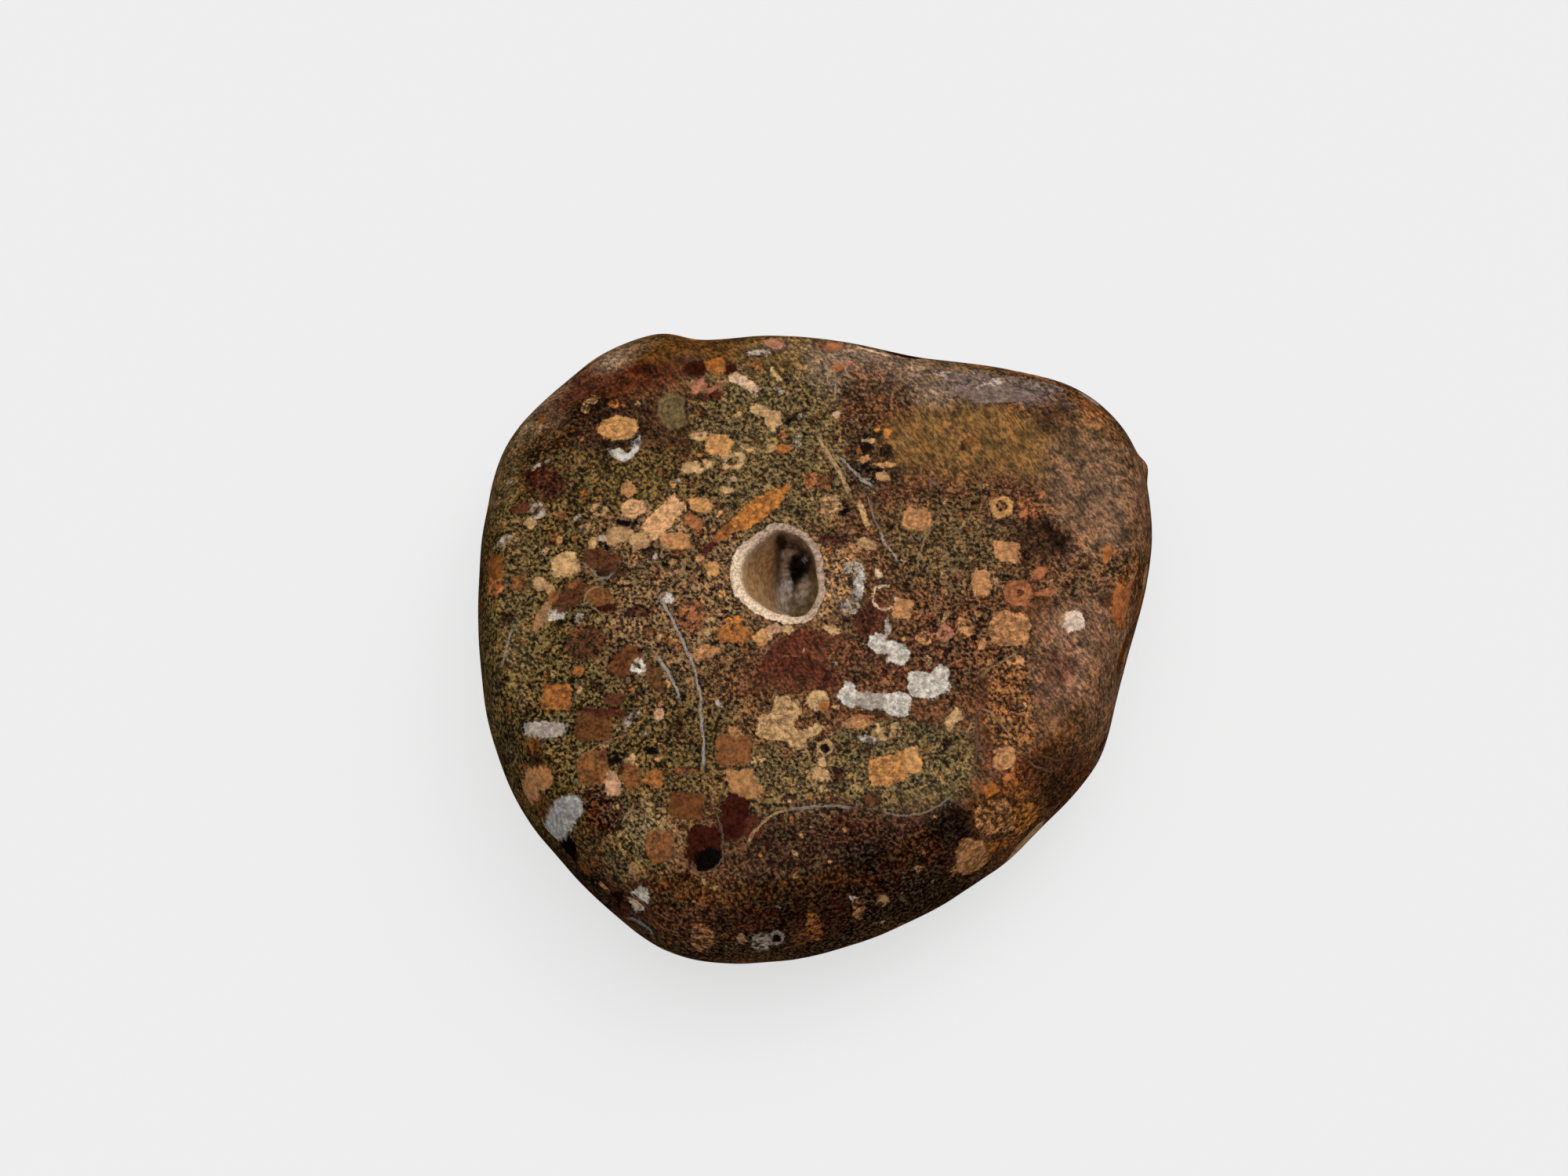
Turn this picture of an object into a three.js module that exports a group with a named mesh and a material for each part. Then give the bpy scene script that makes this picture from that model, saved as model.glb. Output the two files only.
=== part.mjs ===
// A flat, water-worn limestone pebble full of fossils, with a hollow that a shell once filled.
// Millimetres, +Z up, +Y to the back. The origin is under the middle of the stone, on the surface it lies on.
import * as THREE from 'three';
import { mergeVertices } from 'three/addons/utils/BufferGeometryUtils.js';

// Height of the top at its middle, and how far the top has fallen at a given distance from there.
const TOP_HEIGHT = 22.8;
const TOP_FALL = 1.6;
const TOP_FALL_RADIUS = 35;

// The outline at the girth, anticlockwise from the right. Each row holds x, y, the height of the girth,
// the width of the rounding above it, and how square the side below it is (2 is a plain oval).
const EDGE = [
  [34.4, 6.2, 10.5, 3, 2.2],
  [35.1, 13.7, 11, 4, 2.2],
  [33.4, 21.1, 11.5, 5, 2.3],
  [28.5, 26.6, 12, 6.5, 2.2],
  [21.1, 29.1, 12.5, 7.5, 2.1],
  [11.3, 30.4, 13, 6.5, 2.1],
  [3, 31.8, 13, 4, 2.2],
  [-5, 32.4, 12.5, 3.5, 2.2],
  [-12, 32.5, 12.5, 6, 2.2],
  [-16.8, 33.6, 12, 8.5, 2.2],
  [-22.4, 31.5, 12, 9.5, 2.1],
  [-27.9, 27, 11.5, 9, 2.1],
  [-32.6, 20.8, 11.5, 7, 2.2],
  [-34.6, 11.7, 11.5, 4, 2.3],
  [-34.9, 2.2, 11.5, 3, 2.4],
  [-33.9, -7.8, 11, 3, 2.4],
  [-31, -16, 10.5, 4, 2.3],
  [-26.5, -22.6, 10, 4.5, 2.2],
  [-21, -28.2, 9.5, 5, 2.2],
  [-15, -32.4, 9.5, 5.5, 2.1],
  [-8, -33.6, 9.5, 5.5, 2.1],
  [0, -32.7, 9.5, 5.5, 2.1],
  [9, -29.6, 10, 5.5, 2.2],
  [17.8, -24.3, 10, 5, 2.2],
  [23.8, -18.7, 10, 4.5, 2.3],
  [29.1, -12.3, 10, 4, 2.3],
  [31.7, -3.6, 10, 3.5, 2.3],
];

// Radius of the small round flat spot that the stone lies on.
const FLAT_RADIUS = 12;

// Broad worn slopes: a point on each, the direction it faces, and how softly it meets its surroundings.
const SLOPES = [
  { at: [18, 22.4, 22], facing: [0.1, 0.42, 0.9], softness: 0.35 },
  { at: [-27, 21, 20.2], facing: [-0.45, 0.4, 0.8], softness: 1.2 },
  { at: [-24, -24, 6], facing: [-0.62, -0.62, -0.48], softness: 1.5 },
  { at: [30.8, -10, 15], facing: [0.93, -0.3, 0.2], softness: 1.5 },
  { at: [24, 24, 5], facing: [0.5, 0.5, -0.7], softness: 1.5 },
];

// Small knocks in the edge: where, how wide, and how deep (a negative depth stands out).
const KNOCKS = [
  { at: [-18.2, -29.8, 15], radius: 1.6, depth: 0.9 },
  { at: [-20.4, -27.2, 12], radius: 1.3, depth: 0.5 },
  { at: [34.2, 18.4, 14], radius: 1.2, depth: -0.6 },
  { at: [-34.7, 13.5, 13], radius: 1, depth: 0.4 },
];

// The hollow: its middle, the radii of its mouth every 30 degrees from the right, the wall of shell around
// the mouth, and the pit, which leans to the back right as it goes down.
const HOLLOW_X = -3.9;
const HOLLOW_Y = 3.7;
const MOUTH_RADII = [4.9, 5.1, 5.4, 5.6, 4.85, 4.8, 4.85, 4.9, 4.85, 5.4, 6.3, 5.65];
const SHELL_WIDTH = 1;
const SHELL_ROUNDING = 0.2;
const PIT_DEPTH = 9.5;
const PIT_LEAN_X = 2.5;
const PIT_LEAN_Y = 0.7;
const PIT_NARROWING = 0.34;
const FLOOR_DEPTH = 2.6;

// How finely each stretch of the surface is divided.
const SEGMENTS = 108;
const FLOOR_RINGS = 3;
const PIT_RINGS = 5;
const TOP_RINGS = 7;
const ROUNDING_RINGS = 7;
const UNDERSIDE_RINGS = 11;

// A smooth closed curve through the points.
function closedCurve(points) {
  return new THREE.CatmullRomCurve3(points, true, 'catmullrom', 0.5);
}

const girthCurve = closedCurve(EDGE.map(([x, y, height]) => new THREE.Vector3(x, y, height)));
const roundingCurve = closedCurve(EDGE.map(([, , , above, square]) => new THREE.Vector3(above, square, 0)));
const mouthCurve = closedCurve(MOUTH_RADII.map((radius, index) => {
  const angle = index / MOUTH_RADII.length * 2 * Math.PI;
  return new THREE.Vector3(radius * Math.cos(angle), radius * Math.sin(angle), 0);
}));

function topHeight(x, y) {
  return TOP_HEIGHT - TOP_FALL * (x * x + y * y) / (TOP_FALL_RADIUS * TOP_FALL_RADIUS);
}

// The outer edge of the mouth in the direction of this turn, measured from the middle of the hollow.
function mouthPoint(turn) {
  const girth = girthCurve.getPoint(turn);
  const angle = Math.atan2(girth.y - HOLLOW_Y, girth.x - HOLLOW_X);
  return mouthCurve.getPoint((angle / (2 * Math.PI) + 1) % 1);
}

// A point of the pit: depth goes from 0 at the mouth to 1 at the foot of the wall, and outward goes from
// 0 at the middle of the floor to 1 at the wall.
function pitPoint(turn, depth, outward) {
  const mouth = mouthPoint(turn);
  const scale = (1 - SHELL_WIDTH / mouth.length()) * (1 - PIT_NARROWING * depth) * outward;
  const x = HOLLOW_X + mouth.x * scale + PIT_LEAN_X * depth;
  const y = HOLLOW_Y + mouth.y * scale + PIT_LEAN_Y * depth;
  const mouthHeight = topHeight(HOLLOW_X, HOLLOW_Y) - SHELL_ROUNDING;
  return new THREE.Vector3(x, y, mouthHeight - PIT_DEPTH * depth - FLOOR_DEPTH * (1 - outward * outward));
}

// A point of the top, from 0 at the outer side of the shell wall to 1 where the rounding starts.
function topPoint(turn, outward) {
  const mouth = mouthPoint(turn);
  const start = shoulderPoint(turn, 0);
  const x = THREE.MathUtils.lerp(HOLLOW_X + mouth.x, start.x, outward);
  const y = THREE.MathUtils.lerp(HOLLOW_Y + mouth.y, start.y, outward);
  return new THREE.Vector3(x, y, topHeight(x, y));
}

// A point of the rounding above the girth, from angle 0 at the top to a right angle at the girth.
function shoulderPoint(turn, angle) {
  const girth = girthCurve.getPoint(turn);
  const width = roundingCurve.getPoint(turn).x;
  const reach = Math.hypot(girth.x - HOLLOW_X, girth.y - HOLLOW_Y);
  const part = 1 - width / reach * (1 - Math.sin(angle));
  const x = THREE.MathUtils.lerp(HOLLOW_X, girth.x, part);
  const y = THREE.MathUtils.lerp(HOLLOW_Y, girth.y, part);
  return new THREE.Vector3(x, y, THREE.MathUtils.lerp(girth.z, topHeight(x, y), Math.cos(angle)));
}

// A point of the underside, from a right angle at the girth to 0 at the rim of the flat spot.
function undersidePoint(turn, angle) {
  const girth = girthCurve.getPoint(turn);
  const flat = new THREE.Vector3(girth.x, girth.y, 0).setLength(FLAT_RADIUS);
  const power = 2 / roundingCurve.getPoint(turn).y;
  const outward = Math.sin(angle) ** power;
  return new THREE.Vector3(
    THREE.MathUtils.lerp(flat.x, girth.x, outward),
    THREE.MathUtils.lerp(flat.y, girth.y, outward),
    girth.z * (1 - Math.cos(angle) ** power));
}

// Evenly spaced values after the first one, up to and with the last one.
function steps(first, last, count) {
  return Array.from({ length: count }, (_, index) => first + (last - first) * (index + 1) / count);
}

// Every ring of the surface in order, from the middle of the hollow's floor to the middle of the flat spot.
const RINGS = [
  (turn) => pitPoint(turn, 1, 0),
  ...steps(0, 1, FLOOR_RINGS).map((outward) => (turn) => pitPoint(turn, 1, outward)),
  ...steps(1, 0, PIT_RINGS).map((depth) => (turn) => pitPoint(turn, depth, 1)),
  (turn) => topPoint(turn, 0),
  ...steps(0, 1, TOP_RINGS).map((outward) => (turn) => topPoint(turn, outward)),
  ...steps(0, Math.PI / 2, ROUNDING_RINGS).map((angle) => (turn) => shoulderPoint(turn, angle)),
  ...steps(Math.PI / 2, 0, UNDERSIDE_RINGS).map((angle) => (turn) => undersidePoint(turn, angle)),
  () => new THREE.Vector3(0, 0, 0),
];

// Presses a point that stands out from a worn slope back onto it.
function wearSlopes(point) {
  for (const { at, facing, softness } of SLOPES) {
    const normal = new THREE.Vector3(...facing).normalize();
    const above = point.clone().sub(new THREE.Vector3(...at)).dot(normal);
    const blend = THREE.MathUtils.clamp(above + softness, 0, 2 * softness);
    const cut = Math.max(above - softness, 0) + blend * blend / (4 * softness);
    point.addScaledVector(normal, -cut);
  }
}

// Moves a point near a knock towards the middle of the stone.
function wearKnocks(point) {
  for (const { at, radius, depth } of KNOCKS) {
    const distance = point.distanceTo(new THREE.Vector3(...at));
    const push = depth * Math.exp(-((distance / radius) ** 2));
    point.addScaledVector(new THREE.Vector3(point.x, point.y, 0).normalize(), -push);
  }
}

// The grid of a ball is pulled onto the rings, so that its north pole becomes the middle of the hollow's
// floor and its south pole the middle of the flat spot.
function stoneGeometry() {
  const ball = new THREE.SphereGeometry(1, SEGMENTS, RINGS.length - 1);
  ball.deleteAttribute('normal');
  ball.deleteAttribute('uv');
  const position = ball.getAttribute('position');
  RINGS.forEach((ring, row) => {
    for (let column = 0; column <= SEGMENTS; column += 1) {
      const point = ring((column % SEGMENTS) / SEGMENTS);
      wearSlopes(point);
      wearKnocks(point);
      position.setXYZ(row * (SEGMENTS + 1) + column, point.x, point.y, point.z);
    }
  });
  return mergeVertices(ball);
}

// Puts the middle of the geometry's bounding box over the origin.
function centreOverOrigin(geometry) {
  geometry.computeBoundingBox();
  const middle = geometry.boundingBox.getCenter(new THREE.Vector3());
  geometry.translate(-middle.x, -middle.y, 0);
}

function makeStone() {
  const geometry = stoneGeometry();
  centreOverOrigin(geometry);
  geometry.computeVertexNormals();
  const limestone = new THREE.MeshStandardMaterial({ color: 0x5e4a30, roughness: 0.5, metalness: 0 });
  limestone.name = 'limestone';
  const stone = new THREE.Mesh(geometry, limestone);
  stone.name = 'fossil_pebble';
  return stone;
}

const group = new THREE.Group();
group.add(makeStone());

export default group;
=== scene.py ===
"""Looks of a flat, water-worn limestone pebble full of fossils, with a shell-lined hollow in its top."""
import math
from collections import namedtuple

import bpy
import numpy as np
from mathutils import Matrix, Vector, kdtree, noise


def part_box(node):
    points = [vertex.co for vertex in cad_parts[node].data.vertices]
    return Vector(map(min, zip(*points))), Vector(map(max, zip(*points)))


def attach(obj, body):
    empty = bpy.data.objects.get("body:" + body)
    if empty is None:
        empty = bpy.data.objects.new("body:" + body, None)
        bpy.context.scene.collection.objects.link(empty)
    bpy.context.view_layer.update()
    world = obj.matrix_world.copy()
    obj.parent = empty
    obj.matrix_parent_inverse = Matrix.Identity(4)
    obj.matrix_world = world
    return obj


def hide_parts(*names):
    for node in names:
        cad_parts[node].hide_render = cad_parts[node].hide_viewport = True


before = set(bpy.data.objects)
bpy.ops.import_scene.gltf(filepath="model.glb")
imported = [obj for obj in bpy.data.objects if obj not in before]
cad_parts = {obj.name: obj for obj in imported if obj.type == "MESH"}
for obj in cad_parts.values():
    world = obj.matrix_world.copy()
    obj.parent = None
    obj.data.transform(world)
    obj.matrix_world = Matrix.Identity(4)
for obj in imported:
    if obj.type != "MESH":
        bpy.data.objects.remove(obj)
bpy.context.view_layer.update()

MM = 0.001

# The camera looks at the stone from the front, high up. A photo pixel is a place in the 2000 x 1500 frame.
PHOTO_WIDTH = 2000
PHOTO_HEIGHT = 1500
FRAME_OF_STONE = ((608, 426), (1470, 1229))
PIXELS_PER_MM = 12.3
CAMERA_ELEVATION = math.radians(70)
CAMERA_DISTANCE = 500
CAMERA_AIM = np.array([-3.34, 5.86, 12])
SENSOR_WIDTH = 36

# The stone's shape, in millimetres, as the CAD source has it.
TOP_HEIGHT = 22.8
TOP_FALL = 1.6
TOP_FALL_RADIUS = 35
# x, y, height of the girth, width of the rounding above it, squareness of the side below it
EDGE = np.array([
    (34.4, 6.2, 10.5, 3, 2.2),
    (35.1, 13.7, 11, 4, 2.2),
    (33.4, 21.1, 11.5, 5, 2.3),
    (28.5, 26.6, 12, 6.5, 2.2),
    (21.1, 29.1, 12.5, 7.5, 2.1),
    (11.3, 30.4, 13, 6.5, 2.1),
    (3, 31.8, 13, 4, 2.2),
    (-5, 32.4, 12.5, 3.5, 2.2),
    (-12, 32.5, 12.5, 6, 2.2),
    (-16.8, 33.6, 12, 8.5, 2.2),
    (-22.4, 31.5, 12, 9.5, 2.1),
    (-27.9, 27, 11.5, 9, 2.1),
    (-32.6, 20.8, 11.5, 7, 2.2),
    (-34.6, 11.7, 11.5, 4, 2.3),
    (-34.9, 2.2, 11.5, 3, 2.4),
    (-33.9, -7.8, 11, 3, 2.4),
    (-31, -16, 10.5, 4, 2.3),
    (-26.5, -22.6, 10, 4.5, 2.2),
    (-21, -28.2, 9.5, 5, 2.2),
    (-15, -32.4, 9.5, 5.5, 2.1),
    (-8, -33.6, 9.5, 5.5, 2.1),
    (0, -32.7, 9.5, 5.5, 2.1),
    (9, -29.6, 10, 5.5, 2.2),
    (17.8, -24.3, 10, 5, 2.2),
    (23.8, -18.7, 10, 4.5, 2.3),
    (29.1, -12.3, 10, 4, 2.3),
    (31.7, -3.6, 10, 3.5, 2.3),
])
FLAT_RADIUS = 12
# a point on each worn slope, the direction it faces, and how softly it meets its surroundings
SLOPES = [
    ((18, 22.4, 22), (0.1, 0.42, 0.9), 0.35),
    ((-27, 21, 20.2), (-0.45, 0.4, 0.8), 1.2),
    ((-24, -24, 6), (-0.62, -0.62, -0.48), 1.5),
    ((30.8, -10, 15), (0.93, -0.3, 0.2), 1.5),
    ((24, 24, 5), (0.5, 0.5, -0.7), 1.5),
]
# where each knock in the edge is, how wide, and how deep (a negative depth stands out)
KNOCKS = [
    ((-18.2, -29.8, 15), 1.6, 0.9),
    ((-20.4, -27.2, 12), 1.3, 0.5),
    ((34.2, 18.4, 14), 1.2, -0.6),
    ((-34.7, 13.5, 13), 1, 0.4),
]
HOLLOW = np.array([-3.9, 3.7])
MOUTH_RADII = np.array([4.9, 5.1, 5.4, 5.6, 4.85, 4.8, 4.85, 4.9, 4.85, 5.4, 6.3, 5.65])
SHELL_WIDTH = 1
SHELL_ROUNDING = 0.2
PIT_DEPTH = 9.5
PIT_LEAN = np.array([2.5, 0.7])
PIT_NARROWING = 0.34
FLOOR_DEPTH = 2.6

# How finely each stretch of the visible mesh is divided.
SEGMENTS = 480
FLOOR_RINGS = 8
PIT_RINGS = 18
RIM_RINGS = 4
TOP_RINGS = 90
ROUNDING_RINGS = 30
UNDERSIDE_RINGS = 40
FLAT_RINGS = 16

# Where the stretches end, counted in rings from the middle of the hollow's floor.
LAST_PIT_RING = FLOOR_RINGS + PIT_RINGS
LAST_RIM_RING = LAST_PIT_RING + RIM_RINGS
GIRTH_RING = LAST_RIM_RING + TOP_RINGS + ROUNDING_RINGS
RING_COUNT = GIRTH_RING + UNDERSIDE_RINGS + FLAT_RINGS + 1

# Where the three islands of the UV map lie: centre and radius.
PIT_ISLAND = ((0.9, 0.12), 0.09)
TOP_ISLAND = ((0.355, 0.355), 0.345)
UNDERSIDE_ISLAND = ((0.77, 0.77), 0.222)


def closed_curve(points, turn):
    """The smooth closed curve through the points, at a turn from 0 to 1."""
    place = np.mod(turn, 1) * len(points)
    start = np.floor(place).astype(int)
    part = (place - start)[..., None]
    before, here, after, beyond = (points[(start + step) % len(points)] for step in (-1, 0, 1, 2))
    leaving = (after - before) / 2
    arriving = (beyond - here) / 2
    cubic = 2 * here - 2 * after + leaving + arriving
    square = 3 * after - 3 * here - 2 * leaving - arriving
    return here + part * (leaving + part * (square + part * cubic))


def top_height(plan):
    """How high the top is over each point of the plan."""
    return TOP_HEIGHT - TOP_FALL * (plan ** 2).sum(axis=-1) / TOP_FALL_RADIUS ** 2


def mouth_points(turns):
    """The outer edge of the mouth of the hollow in the direction of each turn, from the hollow's middle."""
    angles = np.arange(len(MOUTH_RADII)) / len(MOUTH_RADII) * 2 * np.pi
    corners = np.stack([MOUTH_RADII * np.cos(angles), MOUTH_RADII * np.sin(angles)], axis=1)
    girth = closed_curve(EDGE, turns)[:, :2] - HOLLOW
    return closed_curve(corners, np.arctan2(girth[:, 1], girth[:, 0]) / (2 * np.pi))


def pit_ring(turns, depth, outward):
    """Depth goes from 0 at the mouth to 1 at the wall's foot, outward from 0 at the floor's middle to 1."""
    mouth = mouth_points(turns)
    scale = (1 - SHELL_WIDTH / np.linalg.norm(mouth, axis=1)) * (1 - PIT_NARROWING * depth) * outward
    plan = HOLLOW + mouth * scale[:, None] + PIT_LEAN * depth
    height = top_height(HOLLOW) - SHELL_ROUNDING - PIT_DEPTH * depth - FLOOR_DEPTH * (1 - outward ** 2)
    return np.column_stack([plan, np.full(len(turns), height)])


def shoulder_ring(turns, angle):
    """The rounding above the girth, from angle 0 at the top to a right angle at the girth."""
    edge = closed_curve(EDGE, turns)
    reach = np.linalg.norm(edge[:, :2] - HOLLOW, axis=1)
    part = 1 - edge[:, 3] / reach * (1 - np.sin(angle))
    plan = HOLLOW + (edge[:, :2] - HOLLOW) * part[:, None]
    height = edge[:, 2] + (top_height(plan) - edge[:, 2]) * np.cos(angle)
    return np.column_stack([plan, height])


def rim_ring(turns, outward):
    """The rounded top of the shell wall, from 0 at its inner side to 1 at its outer side."""
    mouth = mouth_points(turns)
    scale = 1 - SHELL_WIDTH * (1 - outward) / np.linalg.norm(mouth, axis=1)
    plan = HOLLOW + mouth * scale[:, None]
    height = top_height(plan) - SHELL_ROUNDING * (1 - outward) ** 2
    return np.column_stack([plan, height])


def top_ring(turns, outward):
    """The top, from 0 at the outer side of the shell wall to 1 where the rounding starts."""
    inner = HOLLOW + mouth_points(turns)
    plan = inner + (shoulder_ring(turns, 0)[:, :2] - inner) * outward
    return np.column_stack([plan, top_height(plan)])


def flat_rim(plan):
    """The rim of the flat spot below, in the direction of each point of the girth."""
    return plan / np.linalg.norm(plan, axis=1, keepdims=True) * FLAT_RADIUS


def underside_ring(turns, angle):
    """The underside, from a right angle at the girth to 0 at the rim of the flat spot."""
    edge = closed_curve(EDGE, turns)
    plan = edge[:, :2]
    flat = flat_rim(plan)
    power = 2 / edge[:, 4]
    outward = np.sin(angle) ** power
    height = edge[:, 2] * (1 - np.maximum(0, np.cos(angle)) ** power)
    return np.column_stack([flat + (plan - flat) * outward[:, None], height])


def flat_ring(turns, outward):
    """The flat spot below, from 1 at its rim to 0 in its middle."""
    rim = flat_rim(closed_curve(EDGE, turns)[:, :2])
    return np.column_stack([rim * outward, np.zeros(len(turns))])


def wear_slopes(points):
    """Presses what stands out from a worn slope back onto it."""
    for at, facing, softness in SLOPES:
        normal = np.array(facing) / np.linalg.norm(facing)
        above = (points - np.array(at)) @ normal
        blend = np.clip(above + softness, 0, 2 * softness)
        cut = np.maximum(above - softness, 0) + blend ** 2 / (4 * softness)
        points = points - cut[..., None] * normal
    return points


def wear_knocks(points):
    """Moves what is near a knock towards the middle of the stone."""
    points = points.copy()
    for at, radius, depth in KNOCKS:
        distance = np.linalg.norm(points - np.array(at), axis=-1)
        push = depth * np.exp(-(distance / radius) ** 2)
        plan = points[..., :2]
        away = plan / np.maximum(1e-9, np.linalg.norm(plan, axis=-1, keepdims=True))
        points[..., :2] -= push[..., None] * away
    return points


def steps(first, last, count):
    """Evenly spaced values after the first one, up to and with the last one."""
    return first + (last - first) * np.arange(1, count + 1) / count


def stone_rings():
    """Every ring of the surface, from the middle of the hollow's floor to the middle of the flat spot."""
    turns = np.arange(SEGMENTS) / SEGMENTS
    rings = [pit_ring(turns, 1, 0)]
    rings += [pit_ring(turns, 1, outward) for outward in steps(0, 1, FLOOR_RINGS)]
    rings += [pit_ring(turns, depth, 1) for depth in steps(1, 0, PIT_RINGS)]
    rings += [rim_ring(turns, outward) for outward in steps(0, 1, RIM_RINGS)]
    rings += [top_ring(turns, outward) for outward in steps(0, 1, TOP_RINGS)]
    rings += [shoulder_ring(turns, angle) for angle in steps(0, np.pi / 2, ROUNDING_RINGS)]
    rings += [underside_ring(turns, angle) for angle in steps(np.pi / 2, 0, UNDERSIDE_RINGS)]
    rings += [flat_ring(turns, outward) for outward in steps(1, 0, FLAT_RINGS)]
    return wear_knocks(wear_slopes(np.array(rings)))


def camera_axes():
    """The directions right and up in the picture, and back towards the camera."""
    right = np.array([1.0, 0, 0])
    up = np.array([0, math.sin(CAMERA_ELEVATION), math.cos(CAMERA_ELEVATION)])
    back = np.array([0, -math.cos(CAMERA_ELEVATION), math.sin(CAMERA_ELEVATION)])
    return right, up, back


def photo_pixels(points):
    """Where points in millimetres appear in the 2000 x 1500 frame."""
    right, up, back = camera_axes()
    offset = points - (CAMERA_AIM + back * CAMERA_DISTANCE)
    scale = PIXELS_PER_MM * CAMERA_DISTANCE / -(offset @ back)
    return np.stack([PHOTO_WIDTH / 2 + offset @ right * scale, PHOTO_HEIGHT / 2 - offset @ up * scale], -1)


def make_camera():
    _, _, back = camera_axes()
    data = bpy.data.cameras.new("camera")
    data.sensor_width = SENSOR_WIDTH
    data.lens = SENSOR_WIDTH * PIXELS_PER_MM * CAMERA_DISTANCE / PHOTO_WIDTH
    data.clip_start = 0.01
    data.clip_end = 20
    camera = bpy.data.objects.new("camera", data)
    camera.location = Vector((CAMERA_AIM + back * CAMERA_DISTANCE) * MM)
    camera.rotation_euler = (math.pi / 2 - CAMERA_ELEVATION, 0, 0)
    bpy.context.scene.collection.objects.link(camera)
    bpy.context.scene.camera = camera


def smooth_step(low, high, values):
    """Goes smoothly from 0 to 1 while the values go from low to high."""
    part = np.clip((values - low) / (high - low), 0, 1)
    return part * part * (3 - 2 * part)


def noise_vectors(points, size, seed):
    """Three smooth random values from about -1 to 1 at each point, with lumps of about this size in mm."""
    shift = Vector((seed * 17.3, seed * 5.1, seed * 9.7))
    return np.array([noise.noise_vector(Vector(point) + shift) for point in points / size])


def linear(colour):
    """A display colour from 0 to 255 as a linear one."""
    share = np.clip(np.asarray(colour, dtype=float) / 255, 0, 1)
    return np.where(share <= 0.04045, share / 12.92, ((share + 0.055) / 1.055) ** 2.4)


def skin_colour(name):
    """A colour of the palette as the skin of the stone has it, so that it looks right in the light."""
    return linear(COLOURS[name]) / LIGHT_ON_TOP


def shader_colour(name):
    """A colour of the palette as a shader socket takes it."""
    return (*linear(COLOURS[name]), 1)


# Display colours from 0 to 255, in steps of 5.
COLOURS = {
    "olive": (80, 60, 20),
    "middle olive": (105, 75, 45),
    "light olive": (95, 75, 40),
    "dark olive": (65, 45, 20),
    # Painted sheen, partly the stone's own colour: the grey of the back bevels where they reflect the light.
    "bevel grey": (135, 110, 85),
    "orange brown": (115, 80, 35),
    "yellow brown": (95, 60, 20),
    "warm brown": (90, 55, 25),
    "red brown": (85, 45, 20),
    "dark brown": (55, 30, 10),
    # Painted shade, partly the stone's own colour: the darkened front of the stone.
    "front brown": (50, 20, 5),
    "black brown": (25, 10, 5),
    "maroon": (75, 30, 10),
    "dark red": (50, 10, 0),
    "purple brown": (120, 85, 60),
    "grey brown": (110, 80, 55),
    "orange": (185, 115, 40),
    "orange tan": (180, 125, 75),
    "deep orange": (160, 95, 35),
    "brown orange": (125, 75, 30),
    "red orange": (160, 95, 50),
    "bright red orange": (150, 50, 10),
    "yellow cream": (205, 155, 105),
    "cream orange": (195, 140, 80),
    "buff": (175, 135, 90),
    "cream": (190, 150, 100),
    "pale cream": (210, 175, 140),
    "cream pink": (185, 140, 105),
    "pink": (170, 110, 80),
    "white": (205, 195, 180),
    "grey white": (165, 150, 135),
    # Painted sheen: the bright streaks of reflected light on the worn back slope.
    "bright sheen": (175, 155, 140),
    "grey olive": (110, 90, 55),
    "tan": (150, 110, 70),
    "pink tan": (165, 115, 65),
    "rose": (145, 90, 65),
    "umber": (100, 55, 15),
    "slate": (50, 45, 40),
    "black": (10, 5, 5),
    "shell": (210, 185, 165),
    # Lit and shaded copies of the shell colour: painted light and painted shade on the shell round the
    # hollow.
    "shaded shell": (190, 160, 135),
    "lit shell": (235, 205, 170),
    "pink shell": (200, 170, 140),
    # The hollow's wall painted as lit, in painted shade and in painted shadow; the lit wall and the crystals
    # are painted lighter to stand in for the light that falls into the hollow.
    "lit pit wall": (180, 140, 95),
    "pit shade": (145, 120, 90),
    "pit dark": (60, 40, 20),
    "pit crystal": (220, 200, 175),
    "chalk": (250, 245, 240),
    "amber": (190, 130, 65),
    "blue grey": (180, 175, 170),
    # Painted sheen: the lilac grey of the light reflected on the worn back slope.
    "lilac grey": (120, 100, 90),
}
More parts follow.
